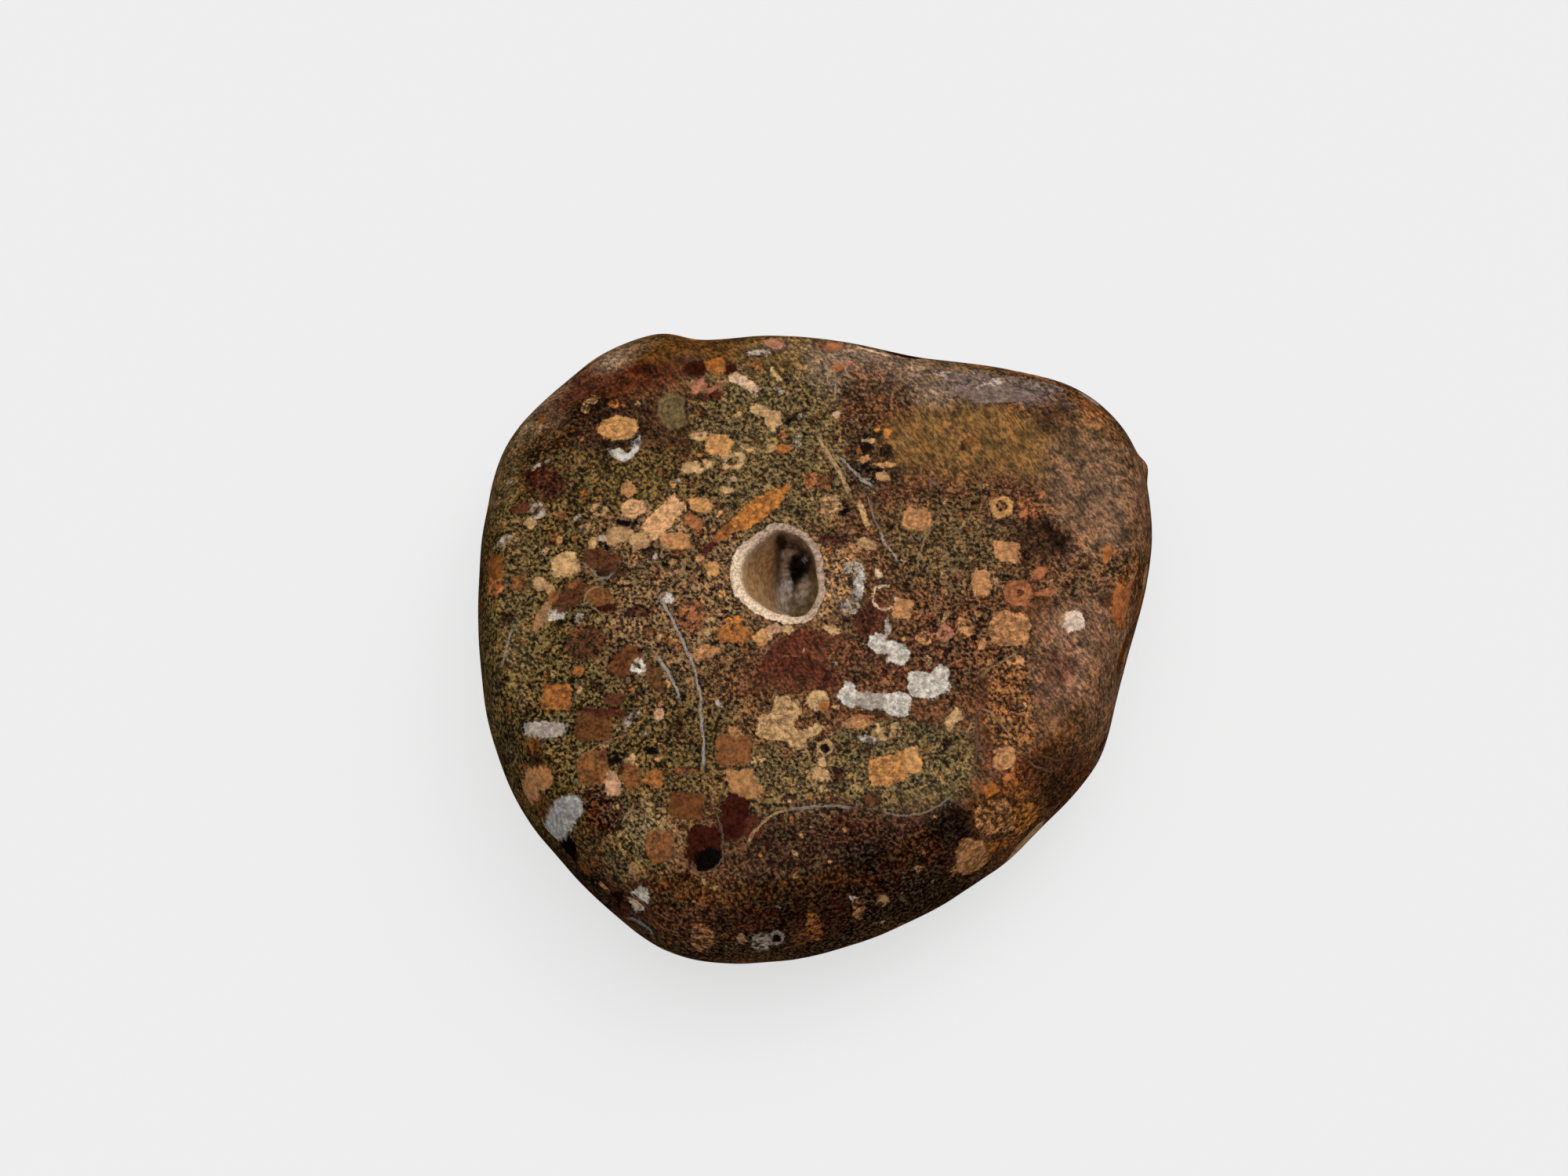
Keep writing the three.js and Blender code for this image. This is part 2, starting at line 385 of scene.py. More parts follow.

# Stains of the ground, and painted shade and sheen where noted: x, y, width and height in photo pixels, tilt
# in degrees, colour, strength, how soft the border is, and how strong the black and tan speckle is inside.
Stain = namedtuple("Stain", "name x y width height tilt colour strength soft speckle")
STAINS = [
    Stain("left side", 700, 840, 230, 460, 0, "olive", 1, 0.4, 1),
    Stain("left of the hollow", 870, 760, 210, 300, 0, "middle olive", 1, 0.4, 1),
    Stain("above the hollow", 990, 550, 220, 260, 10, "light olive", 1, 0.35, 0.9),
    Stain("olive top", 860, 455, 160, 60, 0, "light olive", 0.7, 0.5, 0.3),
    Stain("brown olive top", 930, 452, 220, 50, 0, "orange brown", 0.6, 0.5, 0.3),
    # Painted sheen, partly the stone's own grey: the back left bevel is painted greyer and lighter where it
    # reflects the light.
    Stain("grey bevel", 720, 500, 210, 60, 40, "bevel grey", 0.9, 0.5, 0.1),
    Stain("grey bevel left", 652, 600, 150, 44, 62, "grey olive", 0.7, 0.5, 0.5),
    Stain("red band in the bevel", 795, 485, 230, 50, 22, "maroon", 0.9, 0.4, 0.35),
    Stain("yellow brown top", 870, 448, 120, 36, 0, "yellow brown", 0.9, 0.4, 0.2),
    Stain("red in the olive top", 820, 470, 34, 16, 0, "dark red", 0.9, 0.5, 0.3),
    Stain("light left edge", 643, 825, 68, 310, -5, "light olive", 0.7, 0.5, 0.8),
    Stain("dark field", 780, 545, 130, 84, 10, "dark brown", 0.9, 0.3, 0.6),
    Stain("dark beside the oval", 855, 545, 70, 90, 0, "dark brown", 0.8, 0.3, 0.5),
    Stain("black above the oval", 770, 520, 70, 18, 5, "black brown", 0.8, 0.5, 0.5),
    Stain("black below the oval", 785, 564, 50, 14, 0, "black brown", 0.8, 0.5, 0.5),
    Stain("dark left of the oval", 735, 540, 34, 56, 0, "black brown", 0.6, 0.5, 0.7),
    Stain("olive below the dark field", 800, 612, 200, 66, 0, "olive", 0.9, 0.5, 0.9),
    Stain("dark left end", 688, 585, 70, 40, 30, "dark brown", 0.8, 0.5, 0.8),
    Stain("dark red left end", 694, 617, 52, 46, 20, "dark red", 0.9, 0.4, 0.5),
    # Painted sheen: the back edge is painted lighter grey, and the worn back slope lilac grey, for the light
    # reflected there.
    Stain("back edge", 1150, 480, 220, 70, -8, "bevel grey", 1, 0.4, 0.3),
    Stain("sheen on the back edge", 1275, 495, 130, 30, -6, "lilac grey", 0.6, 0.3, 0.1),
    Stain("sheen, left end", 1205, 480, 70, 40, -10, "grey brown", 0.7, 0.4, 0.2),
    Stain("right of the olive band", 1120, 525, 110, 130, 0, "red brown", 0.8, 0.4, 0.8),
    Stain("dark cluster", 1115, 582, 76, 90, 0, "black brown", 0.9, 0.4, 0.7),
    Stain("orange brown field", 1250, 568, 250, 104, -4, "orange brown", 1, 0.25, 0.12),
    Stain("dark strip right of it", 1352, 535, 60, 40, -30, "dark brown", 0.7, 0.5, 0.4),
    Stain("orange brown right", 1385, 560, 60, 60, 0, "orange brown", 0.8, 0.5, 0.25),
    Stain("red stain back right", 1394, 528, 40, 22, -35, "red orange", 0.5, 0.6, 0.2),
    Stain("right side", 1400, 640, 130, 180, 0, "grey brown", 1, 0.4, 0.3),
    # Partly painted sheen: the right edge is painted greyer and pinker for the light reflected there.
    Stain("right edge", 1458, 640, 22, 150, 3, "purple brown", 0.8, 0.5, 0.1),
    Stain("red brown middle right", 1220, 690, 250, 160, 0, "red brown", 0.9, 0.4, 0.9),
    Stain("olive in it", 1210, 695, 170, 110, 0, "light olive", 0.65, 0.5, 0.9),
    Stain("dark right of the square", 1325, 690, 60, 60, -50, "dark brown", 1, 0.4, 0.5),
    Stain("below the streak", 1395, 740, 100, 70, 0, "warm brown", 0.8, 0.5, 1),
    Stain("right of the white bars", 1220, 830, 170, 120, 0, "red brown", 0.9, 0.4, 1),
    Stain("tan right of the rim", 1062, 742, 56, 110, 0, "tan", 0.8, 0.5, 1),
    Stain("olive low left", 850, 945, 190, 170, 0, "olive", 0.8, 0.5, 1),
    Stain("brown left of the hollow foot", 925, 862, 84, 74, 0, "warm brown", 0.8, 0.4, 0.9),
    Stain("red brown beside the maroon", 963, 862, 50, 54, 0, "red brown", 0.9, 0.4, 0.7),
    Stain("maroon below the hollow", 1025, 848, 112, 78, 0, "maroon", 1, 0.12, 0.4),
    Stain("lighter right half of the maroon", 1058, 832, 60, 40, 0, "red brown", 0.8, 0.4, 0.4),
    Stain("lighter foot of the maroon", 1005, 876, 76, 24, 0, "red brown", 0.8, 0.4, 0.4),
    Stain("maroon right end", 1100, 848, 90, 60, -10, "red brown", 0.9, 0.3, 0.8),
    Stain("red brown beside the ring", 1106, 790, 40, 50, 20, "maroon", 0.9, 0.3, 0.4),
    Stain("brown round the blobs", 1165, 850, 90, 110, 0, "red brown", 0.8, 0.4, 0.8),
    Stain("purple right side", 1390, 860, 130, 200, -15, "purple brown", 1, 0.4, 0.3),
    Stain("red in the purple", 1352, 850, 40, 50, 0, "red brown", 0.7, 0.5, 0.4),
    Stain("brown right front", 1350, 932, 90, 90, 0, "warm brown", 0.75, 0.5, 0.5),
    # Painted shade, partly the stone's own colour: the right front, which turns away from the light, is
    # painted darker.
    Stain("dark right front", 1330, 980, 130, 70, -15, "red brown", 0.9, 0.5, 0.5),
    Stain("black right front", 1346, 1008, 34, 50, 0, "dark brown", 0.9, 0.4, 0.5),
    Stain("brown before the arc", 1262, 920, 40, 110, 10, "red brown", 0.9, 0.3, 0.5),
    Stain("speckled orange", 1292, 900, 60, 110, 8, "brown orange", 0.8, 0.3, 1),
    Stain("shell section", 1150, 975, 190, 112, 3, "light olive", 1, 0.15, 0.9),
    Stain("front middle olive", 990, 1000, 130, 110, 0, "light olive", 0.8, 0.4, 1),
    Stain("olive rim of the shell section", 1175, 1022, 90, 26, 4, "light olive", 0.8, 0.4, 0.6),
    # Painted shade, partly the stone's own dark colour: the front of the stone, whose rounding turns away
    # from the light, is painted darker towards its front edge.
    Stain("dark front", 1080, 1105, 320, 150, 3, "front brown", 1, 0.3, 0.7),
    Stain("olive in the dark front", 1000, 1100, 130, 100, 0, "dark olive", 0.25, 0.5, 0.7),
    Stain("red in the dark front", 1085, 1050, 60, 50, 0, "dark red", 0.5, 0.5, 0.8),
    Stain("black in the dark front", 1105, 1088, 70, 40, 0, "black brown", 1, 0.6, 0.6),
    Stain("dark right of the line", 1218, 1052, 54, 52, 0, "black brown", 1, 0.4, 0.5),
    Stain("dark front right", 1150, 1160, 240, 70, 18, "black brown", 0.55, 0.5, 0.9),
    Stain("dark front edge", 960, 1205, 330, 50, 0, "black brown", 0.6, 0.5, 0.9),
    Stain("dark above the front edge", 965, 1175, 180, 30, 0, "dark red", 0.8, 0.5, 0.7),
    Stain("red front", 1065, 1155, 40, 60, 0, "dark red", 0.7, 0.5, 0.6),
    Stain("brown front left", 860, 1140, 110, 90, -20, "red brown", 0.8, 0.5, 0.9),
    Stain("grey olive front left", 815, 1070, 90, 100, -10, "grey olive", 0.9, 0.4, 1),
    Stain("dark left of the chip", 797, 1160, 56, 44, -40, "dark red", 0.8, 0.5, 0.5),
    # Painted shade, partly the stone's own colour: the front left and left edges, where the stone curves away
    # from the light, are painted darker.
    Stain("dark front left edge", 735, 1108, 130, 34, -45, "black brown", 0.8, 0.5, 0.7),
    Stain("dark left edge", 648, 950, 30, 100, -25, "dark olive", 0.7, 0.5, 0.9),
    Stain("dark lower left", 768, 1035, 48, 70, 10, "dark red", 0.9, 0.3, 0.9),
    Stain("dark red of the front left", 790, 850, 40, 44, 10, "dark red", 0.7, 0.5, 0.9),
]

# Fossil sections, and a few patches of painted sheen on the back slope: x, y, width and height in photo
# pixels, tilt in degrees, colour, outline and look.
# Most are plain, and many of those are ovals, so these two may be left out.
Fossil = namedtuple("Fossil", "name x y width height tilt colour outline look", defaults=["oval", "plain"])
OUTLINE_POWERS = {"oval": 2, "pebble": 3, "block": 6, "spindle": 1.4}
FOSSILS = [
    Fossil("ringed oval", 789, 546, 53, 30, 8, "cream orange", "oval", "ringed"),
    Fossil("olive oval", 857, 524, 35, 46, 8, "grey olive", "pebble", "ringed"),
    Fossil("crescent, left part", 788, 579, 18, 12, 0, "white"),
    # Painted sheen, not fossils: lilac grey patches and bright streaks stand for the light reflected on the
    # worn back slope.
    Fossil("painted sheen", 1266, 502, 116, 26, -2, "lilac grey", "spindle", "grain"),
    Fossil("painted sheen, left end", 1228, 488, 54, 22, -20, "lilac grey", "oval", "patchy"),
    Fossil("painted sheen, right end", 1330, 492, 56, 14, -6, "lilac grey", "oval", "patchy"),
    Fossil("bright sheen, far left", 1206, 478, 40, 9, -12, "bright sheen", "spindle", "patchy"),
    Fossil("bright sheen, left", 1246, 498, 34, 14, 25, "bright sheen", "oval", "patchy"),
    Fossil("bright sheen, middle", 1270, 488, 26, 12, 30, "bright sheen", "oval", "patchy"),
    Fossil("bright sheen, foot", 1288, 507, 44, 9, 5, "bright sheen", "spindle", "patchy"),
    Fossil("bright sheen, right", 1340, 492, 34, 8, -10, "bright sheen", "spindle", "patchy"),
    Fossil("tan bit by the bevel", 755, 511, 17, 11, 20, "buff", "oval", "patchy"),
    Fossil("tan sliver by the bevel", 746, 522, 9, 13, -20, "buff", "oval", "patchy"),
    Fossil("orange above the oval", 787, 516, 26, 10, 0, "red orange", "oval", "patchy"),
    Fossil("orange in the left bevel", 690, 534, 16, 13, 0, "brown orange", "oval", "patchy"),
    Fossil("white speck far left", 650, 613, 9, 9, 0, "grey white", "oval", "patchy"),
    Fossil("white streak left", 688, 593, 24, 5, 25, "grey white", "oval", "patchy"),
    Fossil("orange left of the cream", 801, 624, 19, 21, 0, "orange tan"),
    Fossil("orange top", 914, 467, 25, 20, 0, "deep orange", "pebble"),
    Fossil("dark red beside it", 888, 472, 30, 22, 0, "dark red"),
    Fossil("red beside it", 931, 470, 16, 15, 0, "dark red"),
    Fossil("pink top", 891, 492, 19, 17, 0, "pink", "pebble"),
    Fossil("pink bar", 911, 494, 28, 9, 40, "rose", "block"),
    Fossil("cream tip", 921, 487, 15, 7, -10, "buff"),
    Fossil("red strip", 898, 506, 42, 10, 0, "maroon", "oval", "patchy"),
    Fossil("cream bar", 948, 488, 37, 14, -33, "pale cream", "block"),
    Fossil("pink oval", 988, 438, 27, 15, -5, "pink"),
    Fossil("white smear", 968, 450, 34, 9, 0, "grey white", "oval", "patchy"),
    Fossil("small buff bit", 949, 467, 16, 9, 0, "buff", "oval", "patchy"),
    Fossil("small red", 963, 467, 15, 11, 0, "red orange", "oval", "patchy"),
    Fossil("cream wedge", 990, 477, 9, 19, 40, "cream"),
    Fossil("cream clump, left", 970, 524, 27, 14, -10, "cream", "pebble"),
    Fossil("cream clump, right", 986, 534, 21, 23, 0, "cream", "pebble"),
    Fossil("cream clump, foot", 985, 546, 8, 11, 0, "cream"),
    Fossil("orange on the back edge", 1045, 438, 16, 9, 0, "brown orange", "oval", "patchy"),
    Fossil("second orange on the back edge", 1061, 442, 26, 12, -5, "red orange"),
    Fossil("cream on the back edge", 1115, 446, 52, 8, -15, "pale cream"),
    Fossil("orange near the back edge", 1070, 469, 17, 13, 0, "red orange"),
    Fossil("pink near the back edge", 1084, 464, 17, 11, 0, "pink", "oval", "patchy"),
    Fossil("pale dot", 1065, 528, 10, 8, 0, "pale cream"),
    Fossil("small ring", 892, 557, 21, 12, -5, "cream", "oval", "ring"),
    Fossil("buff orange", 917, 568, 37, 25, -8, "cream orange", "pebble"),
    Fossil("cream U, left", 881, 597, 23, 15, 0, "cream", "pebble"),
    Fossil("cream U, foot", 892, 600, 22, 7, 10, "cream"),
    Fossil("cream U, right", 902, 591, 14, 13, 0, "cream", "pebble"),
    Fossil("pale ring", 935, 588, 29, 22, 0, "cream", "pebble", "ring"),
    Fossil("faint cream", 955, 573, 22, 12, -30, "buff", "oval", "patchy"),
    Fossil("orange brown bit", 998, 572, 19, 12, 0, "deep orange"),
    Fossil("buff bit", 984, 571, 12, 9, 0, "cream"),
    Fossil("red square, left", 1034, 612, 20, 21, 0, "red orange", "block", "patchy"),
    Fossil("red square, right", 1051, 614, 18, 22, 0, "brown orange", "block", "patchy"),
    Fossil("cream leaf", 926, 624, 25, 9, -8, "cream", "spindle"),
    Fossil("pink bit on the leaf", 935, 612, 11, 9, 0, "cream pink"),
    Fossil("orange spindle", 967, 650, 106, 28, 36, "orange", "spindle", "grain"),
    Fossil("orange spindle, body", 968, 650, 80, 25, 36, "orange", "pebble", "grain"),
    Fossil("tail of the spindle", 925, 678, 46, 14, 42, "deep orange", "spindle", "grain"),
    Fossil("end of the tail", 904, 698, 28, 9, 48, "maroon"),
    Fossil("cream in the cluster", 1108, 562, 19, 7, 0, "cream"),
    Fossil("brown bit in the cluster", 1095, 575, 8, 13, 0, "brown orange"),
    Fossil("orange bit in the cluster", 1103, 584, 17, 10, 0, "orange tan"),
    Fossil("cream below the cluster", 1131, 593, 28, 7, 0, "cream orange"),
    Fossil("buff below the cluster", 1126, 608, 16, 12, 0, "buff"),
    Fossil("orange above the cluster", 1133, 552, 11, 14, 0, "orange"),
    Fossil("second orange above the cluster", 1120, 544, 10, 8, 0, "orange", "oval", "patchy"),
    Fossil("tan clast", 1060, 644, 29, 29, 0, "buff", "pebble", "patchy"),
    Fossil("cream with stripes", 808, 648, 31, 24, 10, "yellow cream", "pebble", "ringed"),
    Fossil("yellow cream block", 846, 661, 60, 26, 48, "yellow cream", "block"),
    Fossil("orange right of the block", 893, 644, 31, 17, -8, "cream orange", "pebble"),
    Fossil("orange below it", 884, 665, 27, 19, -35, "red orange", "pebble"),
    Fossil("foot of the orange", 889, 678, 12, 12, 0, "red orange", "oval", "patchy"),
    Fossil("tan below the block", 861, 690, 38, 23, 0, "orange tan", "pebble"),
    Fossil("brown below the tan", 866, 705, 24, 10, 0, "brown orange", "oval", "patchy"),
    Fossil("cream left of the middle", 788, 682, 37, 20, 20, "buff", "pebble"),
    Fossil("cream right of it", 815, 690, 22, 23, 30, "buff", "pebble"),
    Fossil("black dash", 796, 667, 21, 8, -10, "black", "block"),
    Fossil("dark smear", 829, 705, 24, 17, -35, "black brown", "oval", "patchy"),
    Fossil("orange by the tail", 892, 713, 13, 9, 0, "orange tan"),
    Fossil("tan by the tail", 909, 725, 19, 19, 0, "cream orange", "pebble"),
    Fossil("pink dot", 834, 726, 7, 7, 0, "pink"),
    Fossil("white knob", 852, 764, 15, 17, 0, "white", "oval", "crystal"),
    Fossil("red brown bit", 882, 786, 32, 40, 10, "red orange", "pebble", "patchy"),
    Fossil("orange left of the hollow foot", 934, 795, 30, 18, 10, "orange", "pebble", "patchy"),
    Fossil("orange below it, wide", 937, 809, 44, 22, 0, "deep orange", "pebble", "grain"),
    Fossil("dark red bits", 815, 781, 36, 15, 0, "dark red", "oval", "patchy"),
    Fossil("orange brown below it", 828, 806, 17, 15, 0, "brown orange", "oval", "patchy"),
    Fossil("buff bit by the rim", 907, 790, 12, 12, 0, "buff", "oval", "patchy"),
    Fossil("pale speck by the rim", 900, 807, 9, 8, 0, "cream"),
    Fossil("red brown far left", 665, 649, 24, 13, 20, "red brown"),
    Fossil("white ring far left", 686, 651, 21, 20, 0, "grey white", "oval", "ring"),
    Fossil("cream far left", 675, 668, 14, 15, 0, "cream"),
    Fossil("white smear far left", 642, 690, 20, 8, 45, "grey white", "oval", "patchy"),
    Fossil("buff ring", 764, 650, 24, 20, 0, "buff", "oval", "ring"),
    Fossil("buff below the ring", 750, 672, 19, 15, 10, "buff", "oval", "patchy"),
    Fossil("cream below it", 755, 692, 13, 15, 0, "cream"),
    Fossil("white below it", 767, 685, 11, 7, 0, "grey white"),
    Fossil("brown on the left edge", 632, 724, 22, 32, 0, "brown orange"),
    Fossil("orange on the left edge", 630, 748, 24, 25, 0, "red orange", "oval", "patchy"),
    Fossil("cream orange square", 721, 720, 36, 27, 12, "cream", "block"),
    Fossil("dark block", 767, 715, 50, 28, -22, "red brown", "block", "grain"),
    Fossil("dark block, foot", 776, 728, 30, 18, -10, "dark brown", "pebble"),
    Fossil("dark block, right piece", 794, 727, 12, 20, 0, "dark brown", "pebble", "patchy"),
    Fossil("cream left of the oblong", 688, 745, 17, 18, 0, "buff", "pebble"),
    Fossil("buff beside it", 701, 751, 12, 10, 0, "buff"),
    Fossil("dark oblong", 725, 762, 54, 25, 42, "red brown", "pebble", "grain"),
    Fossil("orange edge of the oblong", 707, 763, 12, 22, 10, "brown orange"),
    Fossil("cream leaning bar", 691, 786, 36, 12, 60, "tan", "block"),
    Fossil("white foot of the oblong", 710, 785, 20, 11, 0, "white", "pebble", "crystal"),
    Fossil("orange brown shell", 763, 760, 33, 23, -10, "brown orange", "pebble", "ringed"),
    Fossil("dark below the shell", 775, 775, 32, 9, 15, "dark red"),
    Fossil("white dot", 740, 786, 9, 13, 0, "grey white", "oval", "patchy"),
    Fossil("black patch far left", 648, 790, 22, 17, 0, "black brown", "oval", "patchy"),
    Fossil("brown bit", 755, 805, 16, 16, 0, "dark red", "oval", "patchy"),
    Fossil("brown orange bit", 735, 805, 22, 15, 20, "brown orange", "oval", "patchy"),
    Fossil("brown patch", 748, 822, 54, 42, 15, "red brown", "oval", "patchy"),
    Fossil("brown oblong by the white ring", 798, 843, 26, 42, -35, "umber", "block", "grain"),
    Fossil("olive brown by the second shell", 834, 862, 20, 44, 25, "yellow brown", "oval", "grain"),
    Fossil("orange bit", 739, 855, 17, 10, 0, "deep orange"),
    Fossil("brown patch far left", 662, 745, 26, 21, 0, "brown orange", "oval", "patchy"),
    Fossil("coral, top", 1088, 724, 26, 17, 0, "grey white", "pebble", "patchy"),
    Fossil("coral, side", 1096, 746, 12, 36, -5, "white", "pebble", "crystal"),
    Fossil("coral, foot", 1085, 771, 26, 22, 20, "grey white", "pebble", "patchy"),
    Fossil("thin ring", 1128, 762, 30, 33, 0, "pale cream", "oval", "thin ring"),
    Fossil("cream splinter", 1101, 655, 36, 7, -67, "cream"),
    Fossil("buff by the line", 1106, 693, 23, 14, -10, "buff", "pebble"),
    Fossil("orange by the rim", 1089, 699, 24, 12, 15, "orange tan", "oval", "patchy"),
    Fossil("dark red by the rim", 1063, 688, 36, 15, 0, "dark red", "oval", "patchy"),
    Fossil("orange below it", 1057, 702, 17, 7, 0, "orange", "oval", "patchy"),
    Fossil("pink bit", 1119, 731, 14, 9, -60, "pale cream"),
    Fossil("cream star", 1060, 803, 26, 13, -10, "cream", "spindle"),
    Fossil("small stem section", 1005, 802, 15, 13, 0, "cream", "oval", "ringed"),
    Fossil("orange below the rim", 971, 814, 20, 18, 35, "cream orange", "block"),
    Fossil("cream below the rim", 986, 803, 19, 14, 35, "cream pink", "block"),
    Fossil("orange stem section", 1170, 662, 38, 30, -5, "orange tan", "pebble", "ringed"),
    Fossil("stem ring", 1277, 646, 31, 31, 0, "cream orange", "oval", "thick ring"),
    Fossil("tip of the stem ring", 1270, 631, 14, 9, -40, "brown orange"),
    Fossil("black below the stem ring", 1280, 665, 42, 8, -3, "black brown", "oval", "patchy"),
    Fossil("black streak", 1345, 688, 66, 13, -58, "black brown", "spindle", "patchy"),
    Fossil("square stem section", 1285, 704, 30, 26, -8, "orange tan", "block"),
    Fossil("corner of the square", 1274, 695, 16, 12, -20, "orange tan", "pebble"),
    Fossil("orange by the square", 1251, 743, 25, 35, 8, "orange tan", "pebble"),
    Fossil("buff drop", 1203, 730, 11, 19, 20, "buff", "oval", "patchy"),
    Fossil("buff below the drop", 1203, 757, 13, 17, 0, "orange tan", "oval", "patchy"),
    Fossil("red beside the drop", 1222, 738, 13, 11, 0, "red orange", "oval", "patchy"),
    Fossil("orange tan wedge", 1151, 776, 23, 26, -10, "orange tan", "block"),
    Fossil("red orange bit", 1168, 785, 13, 12, 0, "red orange", "oval", "patchy"),
    Fossil("mottled ring", 1205, 808, 20, 22, 0, "pink", "oval", "ring"),
    Fossil("mottled orange", 1231, 801, 23, 24, 0, "orange tan", "pebble", "patchy"),
    Fossil("second mottled orange", 1180, 813, 20, 17, 0, "orange tan", "oval", "patchy"),
    Fossil("small mottled orange", 1252, 820, 11, 13, 0, "orange tan"),
    Fossil("pale sliver", 1272, 744, 6, 17, 30, "buff"),
    Fossil("red stem section", 1311, 649, 23, 24, 0, "red orange", "block", "patchy"),
    Fossil("red bit right of it", 1328, 628, 12, 17, 0, "red orange", "oval", "patchy"),
    Fossil("pair, left", 1298, 757, 37, 31, 0, "red orange", "pebble", "ringed"),
    Fossil("pair, upper right", 1325, 731, 28, 13, 35, "red orange"),
    Fossil("pair, lower right", 1333, 756, 26, 9, 0, "red orange"),
    Fossil("thin pale square", 1345, 749, 17, 21, 0, "buff", "block", "thin ring"),
    Fossil("cream star right", 1369, 793, 24, 28, 20, "shell", "pebble"),
    Fossil("left part of the star", 1356, 790, 13, 15, 0, "buff"),
    Fossil("orange near the right edge", 1412, 706, 13, 23, 0, "deep orange"),
    Fossil("red beside it, right", 1426, 702, 14, 10, 0, "red orange", "oval", "patchy"),
    Fossil("red on the right edge", 1434, 769, 29, 56, 0, "red orange", "block"),
    Fossil("top of the red", 1428, 746, 42, 9, 0, "red orange", "oval", "patchy"),
    Fossil("orange on the edge", 1449, 728, 15, 32, -10, "orange tan", "oval", "patchy"),
    Fossil("brown near the right edge", 1413, 766, 15, 25, -10, "red brown", "oval", "patchy"),
    Fossil("big orange", 1288, 802, 50, 45, 0, "orange tan", "pebble", "grain"),
    Fossil("red orange below the big one", 1295, 845, 24, 17, 0, "orange tan", "oval", "patchy"),
    Fossil("red sliver in the orange field", 1240, 562, 17, 10, 10, "brown orange"),
    Fossil("dark in the orange field", 1229, 569, 10, 8, 0, "dark brown"),
    Fossil("orange left", 709, 889, 37, 35, 0, "deep orange", "block", "grain"),
    Fossil("brown orange streak", 785, 892, 30, 15, 5, "red brown"),
    Fossil("dark block left", 757, 928, 46, 38, 0, "umber", "block", "grain"),
    Fossil("bar of the dark block", 768, 909, 56, 12, -3, "maroon", "block"),
    Fossil("white bar left", 694, 930, 52, 20, 0, "grey white", "block", "crystal"),
    Fossil("brown below the white bar", 680, 951, 26, 22, 0, "brown orange", "oval", "patchy"),
    Fossil("dark brown below it", 684, 968, 22, 20, 0, "dark brown", "oval", "patchy"),
    Fossil("brown orange at the left edge", 687, 993, 36, 28, 0, "orange tan", "pebble"),
    Fossil("orange brown at the left edge", 672, 1010, 32, 30, 0, "orange tan", "pebble"),
    Fossil("brown at the left edge", 691, 1034, 24, 36, -10, "brown orange", "oval", "patchy"),
    Fossil("black sliver", 783, 970, 30, 10, 22, "black"),
    Fossil("cream pink drop", 781, 1000, 21, 33, 10, "cream pink", "pebble"),
    Fossil("brown over the drop", 764, 968, 22, 22, 0, "red brown"),
    Fossil("brown left of the drop", 757, 979, 40, 44, 10, "brown orange", "pebble", "grain"),
    Fossil("white oval", 717, 1043, 64, 37, 58, "blue grey", "pebble", "crystal"),
    Fossil("white stem section", 813, 850, 20, 18, 0, "white", "oval", "ring"),
    Fossil("tail of the stem section", 826, 864, 15, 11, -45, "buff", "oval", "patchy"),
    Fossil("cream dot", 841, 911, 14, 15, 0, "cream pink"),
    Fossil("white slanting streak", 802, 919, 36, 9, 48, "grey white", "oval", "patchy"),
    Fossil("red brown dot", 866, 926, 12, 17, 0, "dark red", "oval", "patchy"),
    Fossil("orange spindle below", 898, 832, 38, 15, 12, "orange tan", "oval", "grain"),
    Fossil("dark brown bit low", 802, 984, 24, 15, 0, "dark red", "oval", "patchy"),
    Fossil("orange brown bit low", 806, 990, 26, 36, 10, "brown orange", "pebble", "grain"),
    Fossil("deep orange bit low", 835, 994, 24, 20, 40, "deep orange", "oval", "grain"),
    Fossil("cream bit low", 806, 968, 17, 15, 0, "cream", "oval", "patchy"),
    Fossil("black bit low", 830, 957, 19, 7, 0, "black"),
    Fossil("brown bit low", 872, 984, 36, 12, 0, "brown orange", "oval", "patchy"),
    Fossil("orange brown square", 876, 1028, 43, 34, -8, "umber", "block"),
    Fossil("maroon column", 937, 1042, 36, 58, -12, "dark red", "pebble"),
    Fossil("maroon column, right side", 960, 1056, 26, 30, 0, "maroon"),
    Fossil("orange brown clast", 936, 957, 44, 38, 0, "brown orange", "block"),
    Fossil("orange on top of it", 936, 932, 22, 15, 0, "orange tan", "oval", "patchy"),
    Fossil("pink tan, upper", 944, 991, 42, 20, 0, "pink tan", "block"),
    Fossil("pink tan, lower", 951, 1007, 44, 20, -18, "pink tan", "pebble"),
    Fossil("cream over the pink tan", 967, 970, 18, 12, 0, "cream", "oval", "patchy"),
    Fossil("white tick", 916, 898, 13, 6, -55, "grey white"),
    Fossil("cream with orange", 1043, 893, 28, 24, 0, "cream", "pebble"),
    Fossil("big cream, top", 1002, 905, 36, 32, -20, "cream", "pebble", "grain"),
    Fossil("big cream, left", 989, 927, 46, 36, 0, "cream", "pebble", "grain"),
    Fossil("big cream, foot", 1017, 944, 27, 26, 0, "cream", "oval", "grain"),
    Fossil("big cream, arm", 1033, 934, 30, 13, 28, "cream", "pebble"),
    Fossil("pale eye", 1052, 953, 21, 20, 0, "buff"),
    Fossil("cream boot", 1047, 987, 23, 16, 0, "cream", "pebble"),
    Fossil("cream boot, top", 1049, 972, 10, 15, 10, "cream"),
    Fossil("pink orange lens", 1094, 921, 38, 15, 5, "orange tan", "oval", "ringed"),
    Fossil("cream arc", 1124, 934, 9, 26, 30, "cream"),
    Fossil("cream arc, right", 1140, 928, 8, 22, -20, "cream"),
    Fossil("grey cream bar", 1108, 943, 28, 8, -10, "grey white", "oval", "patchy"),
